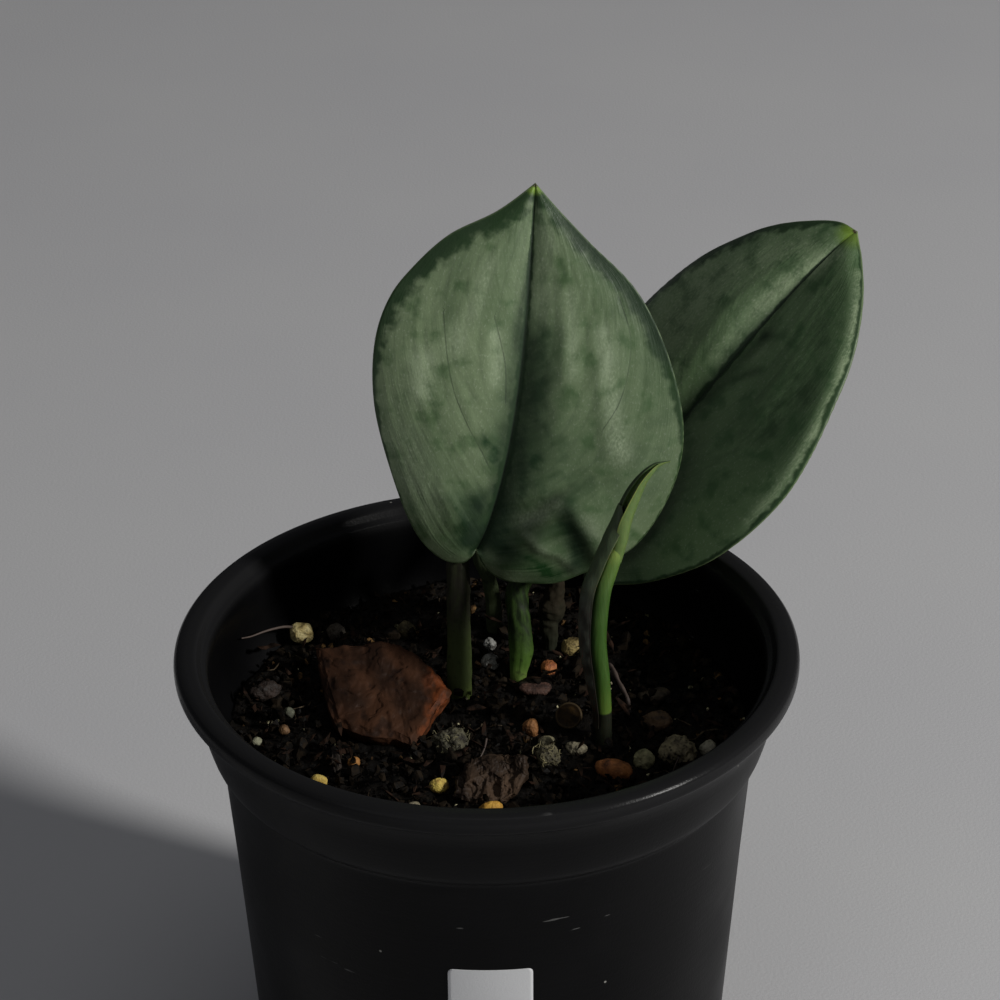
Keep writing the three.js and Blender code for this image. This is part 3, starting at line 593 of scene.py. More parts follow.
def strew(name, shapes, over, tree, material, slot, flat=True, **values):
    """Makes one piece of grains strewn over a mesh. Shapes are in mm for a grain 1 mm across."""
    store = bpy.data.collections.new(name + "_shapes")
    made = []
    for k, (points, faces) in enumerate(shapes):
        grain = piece(f"{name}_shape_{k}", np.asarray(points) / MM, faces, flat)
        bpy.context.collection.objects.unlink(grain)
        store.objects.link(grain)
        made.append(grain)
    spread = bpy.data.objects.new(name, over)
    bpy.context.collection.objects.link(spread)
    modifier = spread.modifiers.new("strewn", "NODES")
    modifier.node_group = tree
    values |= {"Grains": store, "Finish": material}
    for item in tree.interface.items_tree:
        if item.in_out == "INPUT" and item.name in values:
            modifier[item.identifier] = values[item.name]
    settled(spread)
    for grain in made:
        bpy.data.objects.remove(grain)
    bpy.data.collections.remove(store)
    seat(spread, material, slot)


def grit_paint(dark, light, wet):
    """Paint of strewn grains: each is its own shade, since the cloud is about as large as a grain."""

    def paint(tree):
        shade = cloud(tree, 1.6, detail=1, shift=2.0)
        fine = cloud(tree, 0.35, detail=4)
        colour = mix(tree, slope(tree, shade, 0.4, 0.62), tint(dark), tint(light))
        flecked = mix(tree, slope(tree, fine, 0.5, 0.75, 0, 0.3), colour, tint(light))
        return flecked, slope(tree, shade, 0.35, 0.65, wet, 0.9), fine, 0.12

    return paint


strewing = strewing_tree()
draw = np.random.default_rng(5)
chips = [crumb_shape(draw, 11, (1, draw.uniform(0.5, 0.9), draw.uniform(0.4, 0.7))) for _ in range(5)]
nuggets = [crumb_shape(draw, 18, (1, draw.uniform(0.8, 1), draw.uniform(0.7, 0.9))) for _ in range(4)]
flakes = [crumb_shape(draw, 10, (1, draw.uniform(0.25, 0.5), 0.14)) for _ in range(4)]
threads = [thread_shape(draw, bend=0.16, thick=0.022, steps=9, sides=5) for _ in range(4)]
# Each kind: its shapes, how many a square metre, smallest and largest in mm, tilt, lift as a share of
# the size, dark and light colour, and the roughness where it is wet.
LOOSE = [
    ("mix_fines", chips, 500000, 0.5, 1.3, math.pi, 0.5, "090706", "17120d", 0.75),
    ("mix_grit", chips, 190000, 1.4, 3.2, math.pi, 0.8, "0a0807", "1e1811", 0.5),
    ("mix_lumps", nuggets, 26000, 2.6, 4.6, math.pi, 0.7, "0c0a08", "272018", 0.5),
    ("mix_bark_bits", flakes, 42000, 2.4, 6.0, 0.8, 0.9, "120d09", "30221a", 0.55),
    ("mix_brown_crumbs", nuggets, 15000, 0.8, 2.6, math.pi, 0.5, "2c2015", "765a38", 0.5),
    ("mix_pale_crumbs", nuggets, 15000, 0.4, 1.5, math.pi, 0.9, "57533d", "c9c19c", 0.5),
    ("mix_fibres", threads, 6000, 3.0, 8.0, 0.35, 0.16, "2c241c", "5d5140", 0.6),
]
for seed, (name, shapes, density, smallest, largest, tilt, lift, dark, light, wet) in enumerate(LOOSE):
    skin = finish(name, grit_paint(dark, light, wet), Specular_IOR_Level=0.07)
    sizes = {"Density": float(density), "Smallest": smallest * MM, "Largest": largest * MM}
    ways = {"Tilt": tilt, "Lift": lift, "Seed": 10 * seed + 1}
    strew(name, shapes, soil.data, strewing, skin, "potting_mix", **sizes, **ways)

# Bark chunks
# Broken pieces of pine bark lie on the mix, the large one flat, with an orange break on its
# right that is also painted lighter, as painted light on the side that faces the lamp. Each is the
# CAD chunk with finer faces, plates that flake off in steps, and cracks.


def finer(node_name, levels, smooth=True):
    """A copy of a CAD node's mesh, merged and with finer faces."""
    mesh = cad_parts[node_name].data.copy()
    mesh.name = node_name + "_fine"
    shaped = bmesh.new()
    shaped.from_mesh(mesh)
    bmesh.ops.remove_doubles(shaped, verts=shaped.verts, dist=1e-6)
    shaped.to_mesh(mesh)
    shaped.free()
    for attribute in [a for a in mesh.attributes if a.name.startswith(("UV", "custom", "sharp", "Color"))]:
        mesh.attributes.remove(attribute)
    made = bpy.data.objects.new(node_name + "_fine", mesh)
    bpy.context.collection.objects.link(made)
    modifier = made.modifiers.new("finer", "SUBSURF")
    modifier.subdivision_type = "CATMULL_CLARK" if smooth else "SIMPLE"
    modifier.levels = modifier.render_levels = levels
    settled(made)
    made.data.polygons.foreach_set("use_smooth", [True] * len(made.data.polygons))
    return made


def reshape(made, rise):
    """Moves each point of a piece along its normal by rise(point in mm, normal) mm."""
    moves = []
    for vertex in made.data.vertices:
        moves.append(vertex.co + vertex.normal * (rise(vertex.co / MM, vertex.normal) * MM))
    for vertex, place in zip(made.data.vertices, moves):
        vertex.co = place
    made.data.update()


def bark_rise(seed, plates, grit):
    """Bark that flakes off in steps, with furrows and a gritty face. The depths are in mm."""

    def rise(p, normal):
        spot = p * 0.16 + Vector((seed, 0, 0))
        level = noise.fractal(spot, 1.0, 2.0, 3) * 2.4
        step = (round(level) + 0.35 * (level - round(level))) * plates
        crack = noise.turbulence(Vector((p.x * 0.35, p.y * 0.12, p.z * 0.3 + seed)), 4, False)
        furrow = -1.1 * max(0, 0.16 - crack) / 0.16
        return step + furrow * grit + grit * 0.5 * noise.fractal(p * 1.3, 0.8, 2.2, 4)

    return rise


def bark_paint(shade, light, break_from, fresh, depth):
    """Bark: brown plates, grey weathered patches, dark cracks, and a fresh orange break on the right.

    The break is also painted lighter, as painted light on the side toward the lamp.
    """

    def paint(tree):
        place = node(tree, "ShaderNodeTexCoord", out=3)
        along = node(tree, "ShaderNodeSeparateXYZ", {"Vector": place})
        plates = cloud(tree, 6, detail=5, stretch=(1, 0.5, 1))
        fibre = cloud(tree, 1.4, detail=5, stretch=(1, 0.4, 1), shift=4.0)
        cracks = cloud(tree, 3.2, detail=6, stretch=(1, 0.6, 1), shift=9.0)
        wander = sum_of(tree, sum_of(tree, plates, 7 * MM, "MULTIPLY"), along)
        # The orange break on the right, painted lighter as painted light on the side toward the lamp.
        broken = slope(tree, wander, (break_from + 3) * MM, (break_from + 5.5) * MM)
        face = mix(tree, slope(tree, plates, 0.35, 0.65), tint(shade), tint(light))
        torn = mix(tree, slope(tree, fibre, 0.35, 0.65), tint(fresh[0]), tint(fresh[1]))
        whole = mix(tree, broken, face, torn)
        grey = mix(tree, slope(tree, fibre, 0.62, 0.8, 0, 0.22), whole, tint("6d5c4c"))
        colour = mix(tree, slope(tree, cracks, 0.41, 0.3, 0, 0.6), grey, tint("150c08"))
        relief = sum_of(tree, sum_of(tree, fibre, 0.6, "MULTIPLY"), sum_of(tree, cracks, 0.7, "MULTIPLY"))
        return colour, slope(tree, plates, 0.3, 0.7, 0.5, 0.8), relief, depth

    return paint


bark_large = finer("bark_large", levels=4, smooth=False)
reshape(bark_large, bark_rise(seed=2.0, plates=0.26, grit=0.06))
large_paint = bark_paint("28180e", "462b1a", -12.6, ("42230f", "70391a"), 0.22)
seat(bark_large, finish("red_bark", large_paint, Specular_IOR_Level=0.2), "bark", "bark_large")
bark_front = finer("bark_front", levels=5, smooth=False)
reshape(bark_front, bark_rise(seed=6.5, plates=0.3, grit=0.22))
front_paint = bark_paint("2a2018", "4d3c2e", 30, ("4d3c2e", "5c4838"), 0.25)
seat(bark_front, finish("cracked_bark", front_paint, Specular_IOR_Level=0.2), "bark", "bark_front")

# Loose stones and chips
# Clay pebbles, grit, pumice, small crystals and bark chips lie on the mix. Each keeps its CAD
# place and form, with finer faces, chipped flats and a rough skin.


def stone_rise(seed, rough, flats, size):
    """Chips flats off a lump of that size and roughens what is left."""
    chooser = np.random.default_rng(seed)
    ways = [Vector(chooser.normal(size=3)).normalized() for _ in range(flats)]

    def rise(p, normal):
        swell = rough * size * noise.fractal(p * (2.4 / size) + Vector((seed, 0, 0)), 0.9, 2.1, 4)
        patchy = sum(max(0, normal.dot(way) - 0.72) for way in ways)
        return swell - 0.192 * size * patchy

    return rise


def stone_paint(dark, light, pits):
    """Stone or clay: mottled, with dark pits and pale grains. More pits make it pumice."""

    def paint(tree):
        mottle = cloud(tree, 1.7, detail=5)
        grain = cloud(tree, 0.35, detail=4, shift=5.0)
        place = node(tree, "ShaderNodeTexCoord", out=3)
        holes = node(tree, "ShaderNodeTexVoronoi", {"Vector": place, "Scale": 1100.0})
        pitted = slope(tree, holes, 0.42, 0.12, 0, pits)
        colour = mix(tree, slope(tree, mottle, 0.3, 0.7), tint(dark), tint(light))
        soiled = mix(tree, slope(tree, mottle, 0.42, 0.3, 0, 0.6), colour, tint("241b13"))
        speckled = mix(tree, slope(tree, grain, 0.6, 0.75, 0, 0.4), soiled, tint(light))
        holed = mix(tree, pitted, speckled, tint("1c150f"))
        relief = sum_of(tree, grain, pitted, "SUBTRACT")
        return holed, slope(tree, grain, 0.2, 0.8, 0.6, 0.85), relief, 0.18

    return paint


# Each lump: slot, dark and light colour, how rough, how many flats, how pitted.
LUMPS = {
    "pale_tuft": ("pumice", "2a271d", "5c5844", 0.12, 0, 0.9),
    "pumice_right": ("pumice", "564d3c", "8d8264", 0.12, 0, 0.8),
    "pale_tuft_small": ("pumice", "2f2b1e", "6c654a", 0.12, 0, 0.9),
    "stone_back_left": ("pumice", "bfa868", "f2e2a6", 0.06, 5, 0.35),
    "pebble_greenish": ("pebble", "6c694a", "a09b74", 0.06, 4, 0.3),
    "pebble_clay": ("pebble", "6b3c1c", "a96a35", 0.03, 2, 0.15),
    "lump_back_left": ("pebble", "2b251e", "4a4237", 0.08, 3, 0.2),
    "pebble_olive": ("pebble", "413a24", "6f6443", 0.05, 3, 0.2),
    "lump_left": ("pebble", "17100b", "2b1c13", 0.08, 3, 0.2),
    "pebble_pale_left": ("pebble", "4a4634", "857e60", 0.05, 3, 0.2),
    "pebble_pale_right": ("pebble", "5d5645", "958d74", 0.06, 3, 0.3),
    "pebble_orange_middle": ("pebble", "6b4322", "a5713f", 0.05, 4, 0.2),
    "pebble_orange_back": ("pebble", "7c3f1d", "bb7644", 0.07, 3, 0.3),
    "pebble_yellow_back": ("pebble", "6f5f35", "b09c63", 0.06, 4, 0.3),
    "pebble_brown_right": ("pebble", "3c2b1c", "6a5238", 0.05, 2, 0.15),
    "pebble_white_right": ("pebble", "77725f", "a8a391", 0.06, 4, 0.3),
    "pebble_yellow_left": ("pebble", "b08c34", "ddc46c", 0.04, 5, 0.15),
    "pebble_orange_left": ("pebble", "8a5a26", "c28a48", 0.05, 3, 0.2),
    "pebble_yellow_front": ("pebble", "a37f3e", "dcc25e", 0.05, 5, 0.15),
    "pebble_yellow_bottom": ("pebble", "a8762a", "d8a844", 0.05, 5, 0.15),
    "crystal_back": ("pebble", "6d6c66", "c2c2bd", 0.1, 7, 0.2),
    "crystal_front": ("pebble", "66645e", "b5b4ad", 0.1, 7, 0.3),
    "pebble_tan_left": ("pebble", "5b3f24", "93704a", 0.05, 4, 0.2),
    "pebble_grey_left": ("pebble", "3f4033", "6d6f5b", 0.05, 4, 0.2),
    "pebble_white_left": ("pebble", "6c6b58", "9b9a80", 0.07, 4, 0.3),
    "pebble_pale_front": ("pebble", "6d6550", "a59b80", 0.06, 4, 0.3),
    "chip_right": ("bark", "2a2118", "574a39", 0.05, 4, 0.1),
    "stick_left": ("bark", "17120e", "3a3027", 0.05, 4, 0.1),
    "bark_chip_back": ("bark", "2b1a14", "553a2e", 0.06, 4, 0.1),
}
for seed, (name, (slot, dark, light, rough, flats, pits)) in enumerate(LUMPS.items()):
    low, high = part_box(name)
    size = (high - low).length / MM / math.sqrt(3)
    lump = finer(name, levels=4 if size > 3.4 else 3)
    reshape(lump, stone_rise(seed + 1, rough, flats, size))
    seat(lump, finish(name + "_skin", stone_paint(dark, light, pits)), slot, name)

# Threads on the porous lumps
# Dry roots and moss cling to the two pale tufts as a loose net. Each thread is strewn over the
# lump's own surface.

THREAD_COLOURS = {
    "pale_tuft": ("3f3b28", "827c5c"),
    "pale_tuft_small": ("4d482f", "958c66"),
}
THREADS_A_SQUARE_METRE = 420000.0
curls = [thread_shape(draw, bend=0.42, thick=0.045, steps=11, sides=5) for _ in range(5)]
for seed, (name, (dark, light)) in enumerate(THREAD_COLOURS.items()):
    body = bpy.data.objects[name + "_fine"].data.copy()
    bare = body.attributes.new("open", "FLOAT", "POINT")
    bare.data.foreach_set("value", [1.0] * len(body.vertices))
    sizes = {"Density": THREADS_A_SQUARE_METRE, "Smallest": 0.9 * MM, "Largest": 2.6 * MM}
    ways = {"Tilt": math.pi, "Lift": 0.1, "Seed": 200 + 10 * seed}
    skin = finish(name + "_threads", grit_paint(dark, light, 0.6))
    strew(name + "_threads", curls, body, strewing, skin, "pumice", flat=False, **sizes, **ways)

# Seed husk
# An empty seed case lies on edge to the left of the shoot's foot. It is a shallow brown dish with
# a pale rim, turned from its outline and tilted to the front.

HUSK_TILT = (-0.15, -0.72, 0.68)
HUSK_SHIFT = Vector((-0.1, -0.7, 1.2))
# Radius and height of the dish, from its middle out over the rim and back below.
HUSK_OUTLINE = [
    (0, 0.62), (1, 0.56), (1.8, 0.42), (2.15, 0.5), (2.4, 0.55), (2.6, 0.4), (2.65, 0), (2.3, -0.55),
    (1.4, -1), (0, -1.2),
]
low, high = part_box("seed_husk")
husk_place = (low + high) / 2 / MM + HUSK_SHIFT
husk_points, husk_faces = turned(rounded(HUSK_OUTLINE, steps=4)[::-1], sides=56)
tilt = Vector(HUSK_TILT).to_track_quat("Z", "Y").to_matrix()
husk_points = [tuple(tilt @ Vector(p) + husk_place) for p in husk_points]
husk = piece("seed_husk_dish", husk_points, husk_faces)


def husk_paint(tree):
    """Dark brown, with a rim that is paler because it lies farther from the dish's middle."""
    mottle = cloud(tree, 1.4, detail=4)
    fine = cloud(tree, 0.3, detail=3)
    skin = mix(tree, slope(tree, mottle, 0.35, 0.65), tint("1d140a"), tint("35260f"))
    place = node(tree, "ShaderNodeTexCoord", out=3)
    ends = {0: place, 1: tuple(husk_place * MM)}
    away = node(tree, "ShaderNodeVectorMath", ends, out=1, operation="DISTANCE")
    rim_share = slope(tree, away, 2.2 * MM, 2.5 * MM, 0, 0.75)
    return mix(tree, rim_share, skin, tint("4c402e")), slope(tree, fine, 0, 1, 0.4, 0.6), fine, 0.05


seat(husk, finish("husk_skin", husk_paint, Specular_IOR_Level=0.1), "bark", "seed_husk")

# Leaf stalks and old stems
# Four stems stand in the mix behind the shoot. Each is swept along the CAD stem's line, with
# fine ridges, and the two leaf stalks end under their leaves. The rear leaf stalk's top is painted
# dark, as painted shadow of the leaves above it.

# Rows of x, y, z, width and depth, from the foot up, as in the CAD model.
STEMS = {
    "petiole_front": [
        (-5.8, 11.5, 62, 4.2, 4.2), (-5.5, 13, 86, 5, 4.8), (-5.4, 14.9, 97, 4.7, 4.6),
        (-5.4, 17.6, 107, 4.6, 4.5), (-5.2, 19.6, 113, 4.3, 4.2), (-3.8, 20, 116.2, 3.8, 3.6),
        (-1.9, 18.5, 117.3, 2.8, 2.6), (-1.2, 17.2, 118.6, 2.2, 1.6),
    ],
    "petiole_rear": [
        (6, 16, 62, 3, 3), (6.2, 17.7, 86, 3.2, 3.2), (6.9, 18.9, 91, 4.8, 4.4),
        (6.5, 20.6, 97, 4.5, 4.3), (6.2, 22.8, 103, 4.5, 4.3), (8.6, 24.4, 106.2, 4.2, 4),
        (14, 26, 108.6, 3.6, 3.6), (19.3, 27.8, 110.8, 2.2, 2.2), (21.6, 29, 111.6, 1.4, 1.4),
    ],
    "old_stalk": [
        (1.9, 34, 64, 3, 3), (1.6, 34.8, 87.5, 3.4, 3.4), (1.4, 35.3, 93, 3.1, 3.1),
        (0.5, 35.7, 98, 2.8, 2.8), (-1.1, 36.1, 102, 2.6, 2.6), (-1.9, 36.4, 105.4, 2.2, 2.2),
    ],
    "old_stem": [
        (12.9, 27, 62, 3, 3), (12.8, 27.7, 87, 3.2, 3.2), (12.6, 28.3, 92, 3.9, 3.8),
        (13, 28.6, 94.2, 5.3, 4.8), (13.3, 28.8, 95.8, 5.5, 4.9), (13.6, 29, 97.6, 4, 3.7),
        (14.2, 29.6, 102, 3.2, 3),
    ],
}
STEM_STEPS = 90
STEM_SIDES = 40


def ridged(rows, seed, ridges, knobs):
    """A stem's points and faces. Lengthwise ridges and small knobs are in mm."""
    line = on_line(rows, np.linspace(0, 1, STEM_STEPS))
    points, faces = swept(line[:, :3], line[:, 3:] / 2, STEM_SIDES)
    points = np.array(points)
    for r in range(STEM_STEPS):
        for k in range(STEM_SIDES):
            index = r * STEM_SIDES + k
            out = points[index] - line[r, :3]
            angle = 2 * math.pi * k / STEM_SIDES
            spot = Vector((math.cos(angle) * 1.6, math.sin(angle) * 1.6, line[r, 2] * 0.05 + seed))
            ridge = ridges * noise.noise(spot * 2.2)
            knob = knobs * noise.fractal(Vector(points[index]) * 0.5, 0.9, 2.0, 3)
            points[index] += out / np.linalg.norm(out) * (ridge + knob)
    return points, faces


def stem_paint(low, middle, top, levels, rough=0.5):
    """A stem's skin: three colours that change at two levels in mm, with lengthwise streaks."""

    def paint(tree):
        place = node(tree, "ShaderNodeTexCoord", out=3)
        height = node(tree, "ShaderNodeSeparateXYZ", {"Vector": place}, out=2)
        streak = cloud(tree, 0.9, detail=4, stretch=(1, 1, 0.12))
        mottle = cloud(tree, 1.2, detail=4, shift=3.0)
        wander = sum_of(tree, sum_of(tree, mottle, 4 * MM, "MULTIPLY"), height)
        first = slope(tree, wander, levels[0] * MM, (levels[0] + 6) * MM)
        second = slope(tree, wander, levels[1] * MM, (levels[1] + 8) * MM)
        lower = mix(tree, first, tint(low), tint(middle))
        whole = mix(tree, second, lower, tint(top))
        streaked = mix(tree, slope(tree, streak, 0.35, 0.7, 0, 0.4), whole, tint(middle))
        darker = mix(tree, slope(tree, mottle, 0.45, 0.3, 0, 0.5), streaked, tint("1c2014"))
        return darker, slope(tree, streak, 0.2, 0.8, rough, rough + 0.2), streak, 0.12

    return paint


# Each stem: its slot, how high its ridges and its knobs are in mm, and its skin.
STEM_FINISH = {
    "petiole_front": ("leaf_stalk", 0.16, 0.1, stem_paint("56642f", "3f4a28", "343228", (86, 98))),
    # Painted shadow: the rear stalk's top colour is dark where the leaves above shade it.
    "petiole_rear": ("leaf_stalk", 0.16, 0.12, stem_paint("768a44", "4c6a2a", "1c2813", (86, 91))),
    "old_stalk": ("old_stem_bark", 0.14, 0.1, stem_paint("3a402a", "414b30", "465238", (88, 98))),
    "old_stem": ("old_stem_bark", 0.22, 0.4, stem_paint("22261a", "26261a", "2c2519", (88, 93), rough=0.75)),
}
for seed, (name, (slot, ridges, knobs, paint)) in enumerate(STEM_FINISH.items()):
    stem = piece(name + "_stem", *ridged(STEMS[name], seed, ridges, knobs))
    seat(stem, finish(name + "_skin", paint, Specular_IOR_Level=0.2), slot, name)

# Surface root and fibres
# A thin root arches over the mix behind the shoot, and three dry fibres lie or stick up elsewhere.
# Each is swept along its line, and the root is a little uneven.

ROOT_ROWS = [
    (23.4, 20, 83.6), (23.7, 19, 87.6), (24.8, 16, 88.9), (26, 11.5, 88.4), (27.6, 6.8, 87.3),
    (28, 5.8, 84.2),
]
ROOT_RADIUS = 0.46
ROOT_STEPS = 60
# Each fibre: its greatest radius and its line.
FIBRES = {
    "fibre_left": (0.3, [
        (-48.6, 20, 94.2), (-46.8, 22, 93.4), (-44.7, 24, 93.1), (-42.6, 26.2, 92.5),
        (-40.7, 28.2, 91.7), (-38.6, 31, 89.9),
    ]),
    "fibre_right": (0.16, [
        (34.6, -18.4, 84.5), (35.3, -18.2, 87), (35.8, -17.9, 88.4), (36.4, -17.4, 89.6),
    ]),
    "fibre_middle": (0.2, [
        (-2.6, -13.2, 84), (-1.7, -12.2, 86), (-0.6, -9.8, 87.2), (-0.2, -7.6, 87.9),
    ]),
}
FIBRE_STEPS = 40


def root_paint(tree):
    mottle = cloud(tree, 1.1, detail=4)
    skin = mix(tree, mottle, tint("3d322e"), tint("665850"))
    return skin, slope(tree, mottle, 0, 1, 0.5, 0.7), mottle, 0.08


root_skin = finish("root_skin_dry", root_paint)
along_root = np.linspace(0, 1, ROOT_STEPS)
root_radii = ROOT_RADIUS - 0.1 * along_root + 0.06 * np.sin(40 * along_root)
root = piece("surface_root_fine", *swept(on_line(ROOT_ROWS, along_root), root_radii, 18))
seat(root, root_skin, "root_skin", "surface_root")
along_fibre = np.linspace(0, 1, FIBRE_STEPS)
for name, (thick, rows) in FIBRES.items():
    fibre = piece(name, *swept(on_line(rows, along_fibre), thick * (0.45 + 0.55 * along_fibre), 10))
    seat(fibre, root_skin, "root_skin")

# New shoot
# A round green stalk in front, with a thin grey sheath that wraps its left side and its back. The
# sheath's free edge runs up the front to a pale point. The stalk's foot is a darker stub, and the low
# parts of stalk and sheath carry painted shadow of the pot's rim.

# Rows of x, y, z, width and depth, from the foot up.
STALK_ROWS = [
    (22.6, -5, 63, 3, 3), (22.5, -4.2, 85, 3.2, 3.2), (22.5, -3.7, 91.4, 3.1, 3.1),
    (22.1, -2.9, 98.5, 3.2, 3.1), (21.4, -1.9, 105.9, 3.3, 3.2), (21.8, -0.4, 112.9, 3.4, 3.2),
    (22.4, 0.5, 116.6, 3.4, 3.2), (23.6, 1.6, 120.2, 3.4, 3.1), (25.2, 2.6, 124.5, 2.9, 2.8),
    (26.5, 3.3, 128, 2.2, 2.2),
]
# Rows of x, y, z, width, depth and the share of the width where the free edge runs.
SHEATH_ROWS = [
    (22.2, -3.8, 88.4, 3.7, 3.6, 0.3), (22.15, -3.7, 91.4, 3.7, 3.7, 0.3),
    (21.3, -2.8, 98.5, 4.9, 3.9, 0.37), (20.35, -1.7, 105.9, 5.3, 4, 0.41),
    (20.6, -0.2, 112.9, 5.7, 4.1, 0.42), (21.1, 0.7, 116.6, 5.7, 4.1, 0.43),
    (22.5, 1.8, 120.2, 5.6, 4, 0.42), (24, 2.7, 124.5, 4.9, 3.8, 0.48),
    (24.8, 3.2, 127, 4.4, 3.5, 0.6), (25.6, 3.7, 130, 3.2, 3, 0.72), (25.9, 4.2, 133, 1.3, 1.2, 0.6),
]
SHEATH_WALL = 0.28
SHEATH_ENDS_AT = 25
SHEATH_STEPS = 150
SHEATH_ACROSS = 60


def stalk_paint(tree):
    """Fresh green with fine lengthwise streaks, yellower near the top and low down. The foot is a
    darker stub with painted shadow of the pot's rim over it.
    """
    place = node(tree, "ShaderNodeTexCoord", out=3)
    height = node(tree, "ShaderNodeSeparateXYZ", {"Vector": place}, out=2)
    streak = cloud(tree, 0.7, detail=4, stretch=(1, 1, 0.1))
    mottle = cloud(tree, 1.6, detail=3, shift=6.0)
    green = mix(tree, streak, tint("34541e"), tint("4a6c2b"))
    lighter = mix(tree, slope(tree, height, 114 * MM, 122 * MM, 0, 0.7), green, tint("66833a"))
    lighter = mix(tree, slope(tree, height, 121 * MM, 124.5 * MM), lighter, tint("8ca44e"))
    fresh = mix(tree, slope(tree, height, 100 * MM, 90 * MM), lighter, tint("5b762d"))
    # The foot: a darker stub, with painted shadow of the pot's rim up to about 91.5 mm.
    foot = mix(tree, mottle, tint("181a10"), tint("24271a"))
    whole = mix(tree, slope(tree, height, 91.3 * MM, 91.8 * MM), foot, fresh)
    return whole, slope(tree, streak, 0.2, 0.8, 0.38, 0.5), streak, 0.1


stalk_line = on_line(STALK_ROWS, np.linspace(0, 1, 120))
stalk = piece("shoot_stalk", *swept(stalk_line[:, :3], stalk_line[:, 3:] / 2, 40))
fresh_skin = finish("fresh_stalk", stalk_paint, Subsurface_Weight=0.1, Subsurface_Scale=0.001)
seat(stalk, fresh_skin, "shoot_green", "new_shoot")

sheath_line = on_line(SHEATH_ROWS, np.linspace(0, 1, SHEATH_STEPS))
sheath_faces = []
for wall in (0, SHEATH_WALL):
    sheath_faces.append([])
    for x, y, z, width, depth, free in sheath_line:
        start = math.degrees(math.acos(1 - 2 * free))
        angles = np.radians(np.linspace(180 + start, SHEATH_ENDS_AT, SHEATH_ACROSS))
        loose = 0.25 * np.linspace(1, 0, SHEATH_ACROSS) ** 6
        across = (width / 2 - wall) * np.cos(angles)
        ahead = (depth / 2 - wall + loose) * np.sin(angles)
        ripple = 0.05 * np.sin(z * 1.3 + 4 * angles)
        sheath_faces[-1].append(np.stack([x + across, y + ahead + ripple, z + 0 * angles], 1))
sheath = sheet("shoot_sheath", *sheath_faces)
free_share = np.tile(np.linspace(0, 1, SHEATH_ACROSS), 2 * SHEATH_STEPS)
sheath.data.attributes.new("across", "FLOAT", "POINT").data.foreach_set("value", free_share)


def sheath_paint(tree):
    """Thin and grey, greener above, and painted dark low down as painted shadow of the pot's rim.
    The free edge is rusty low down and pale at the point.
    """
    place = node(tree, "ShaderNodeTexCoord", out=3)
    height = node(tree, "ShaderNodeSeparateXYZ", {"Vector": place}, out=2)
    across = node(tree, "ShaderNodeAttribute", out=2, attribute_name="across")
    streak = cloud(tree, 0.6, detail=4, stretch=(1, 1, 0.1))
    mottle = cloud(tree, 3.0, detail=3, shift=6.0)
    grey = mix(tree, slope(tree, mottle, 0.35, 0.65), tint("3c3b33"), tint("5c6055"))
    upper = mix(tree, streak, tint("3a4a31"), tint("4d5d3d"))
    skin = mix(tree, slope(tree, height, 112 * MM, 122 * MM), grey, upper)
    # Painted shadow of the pot's rim: the sheath is near black below 91 mm, fading out by 97 mm.
    skin_with_rim_shadow = mix(tree, slope(tree, height, 91 * MM, 97 * MM), tint("1c1c13"), skin)
    edge_colour = mix(tree, slope(tree, height, 112 * MM, 126 * MM), tint("1d1a13"), tint("5c6a45"))
    edged = mix(tree, slope(tree, across, 0.035, 0.01), skin_with_rim_shadow, edge_colour)
    return edged, slope(tree, streak, 0.2, 0.8, 0.4, 0.55), streak, 0.1


sheath_skin = finish("grey_sheath", sheath_paint, Subsurface_Weight=0.1, Subsurface_Scale=0.001)
seat(sheath, sheath_skin, "shoot_green")

# Rolled leaf
# The next leaf stands in the sheath, rolled to a trough that bends over to the right. It is a thin
# sheet. Its back is painted darker on the left, as painted shade on the side away from the lamp,
# its inner side is painted paler as painted light where the trough lies in shade, and its free edge
# is paler.

# Rows of x, y, z, width and how far round the roll goes, in degrees.
ROLL_ROWS = [
    (24.6, 2.1, 121.5, 2.6, 330), (25.5, 2.9, 126, 3.3, 320), (26, 3.6, 129.8, 3.9, 294),
    (27.2, 4.3, 133.1, 3.7, 276), (28.3, 4.8, 135.4, 3.3, 270), (29.6, 5.1, 137.6, 2.6, 270),
    (31.2, 5.5, 139.4, 1.9, 274), (32.6, 5.9, 140.4, 1.2, 286), (34, 6.1, 140.8, 0.6, 300),
    (35.2, 6.2, 141, 0.3, 320),
]
ROLL_STEPS = 110
ROLL_ACROSS = 60
ROLL_WALL = 0.32
# The middle of the roll faces this way, in degrees from the right round to the back.
ROLL_BACK_AT = 38

line = on_line(ROLL_ROWS, np.linspace(0, 1, ROLL_STEPS))
tangents = np.gradient(line[:, :3], axis=0)
tangents /= np.linalg.norm(tangents, axis=1)[:, None]
guide = np.array([0, 1.0, 0])
roll_back = guide - (tangents @ guide)[:, None] * tangents
roll_back /= np.linalg.norm(roll_back, axis=1)[:, None]
roll_side = np.cross(roll_back, tangents)
roll_faces = []
for layer in (0, 1):
    roll_faces.append([])
    for row, side, behind in zip(line, roll_side, roll_back):
        shares = np.linspace(-1, 1, ROLL_ACROSS)
        angles = np.radians(ROLL_BACK_AT - shares * row[4] / 2)[:, None]
        wall = min(ROLL_WALL, 0.3 * row[3])
        radius = row[3] / 2 - layer * wall - 0.12 * row[3] * (shares[:, None] < -0.9)
        radius = radius - 0.1 * row[3] * np.clip(-shares[:, None], 0, 1) ** 2
        roll_faces[-1].append(row[:3] + radius * (np.cos(angles) * side + np.sin(angles) * behind))
spear = sheet("rolled_leaf_trough", *roll_faces)
inside = np.repeat([0.0, 1.0], ROLL_STEPS * ROLL_ACROSS)
spear.data.attributes.new("inside", "FLOAT", "POINT").data.foreach_set("value", inside)
around = np.tile(np.linspace(0, 1, ROLL_ACROSS), 2 * ROLL_STEPS)
spear.data.attributes.new("around", "FLOAT", "POINT").data.foreach_set("value", around)


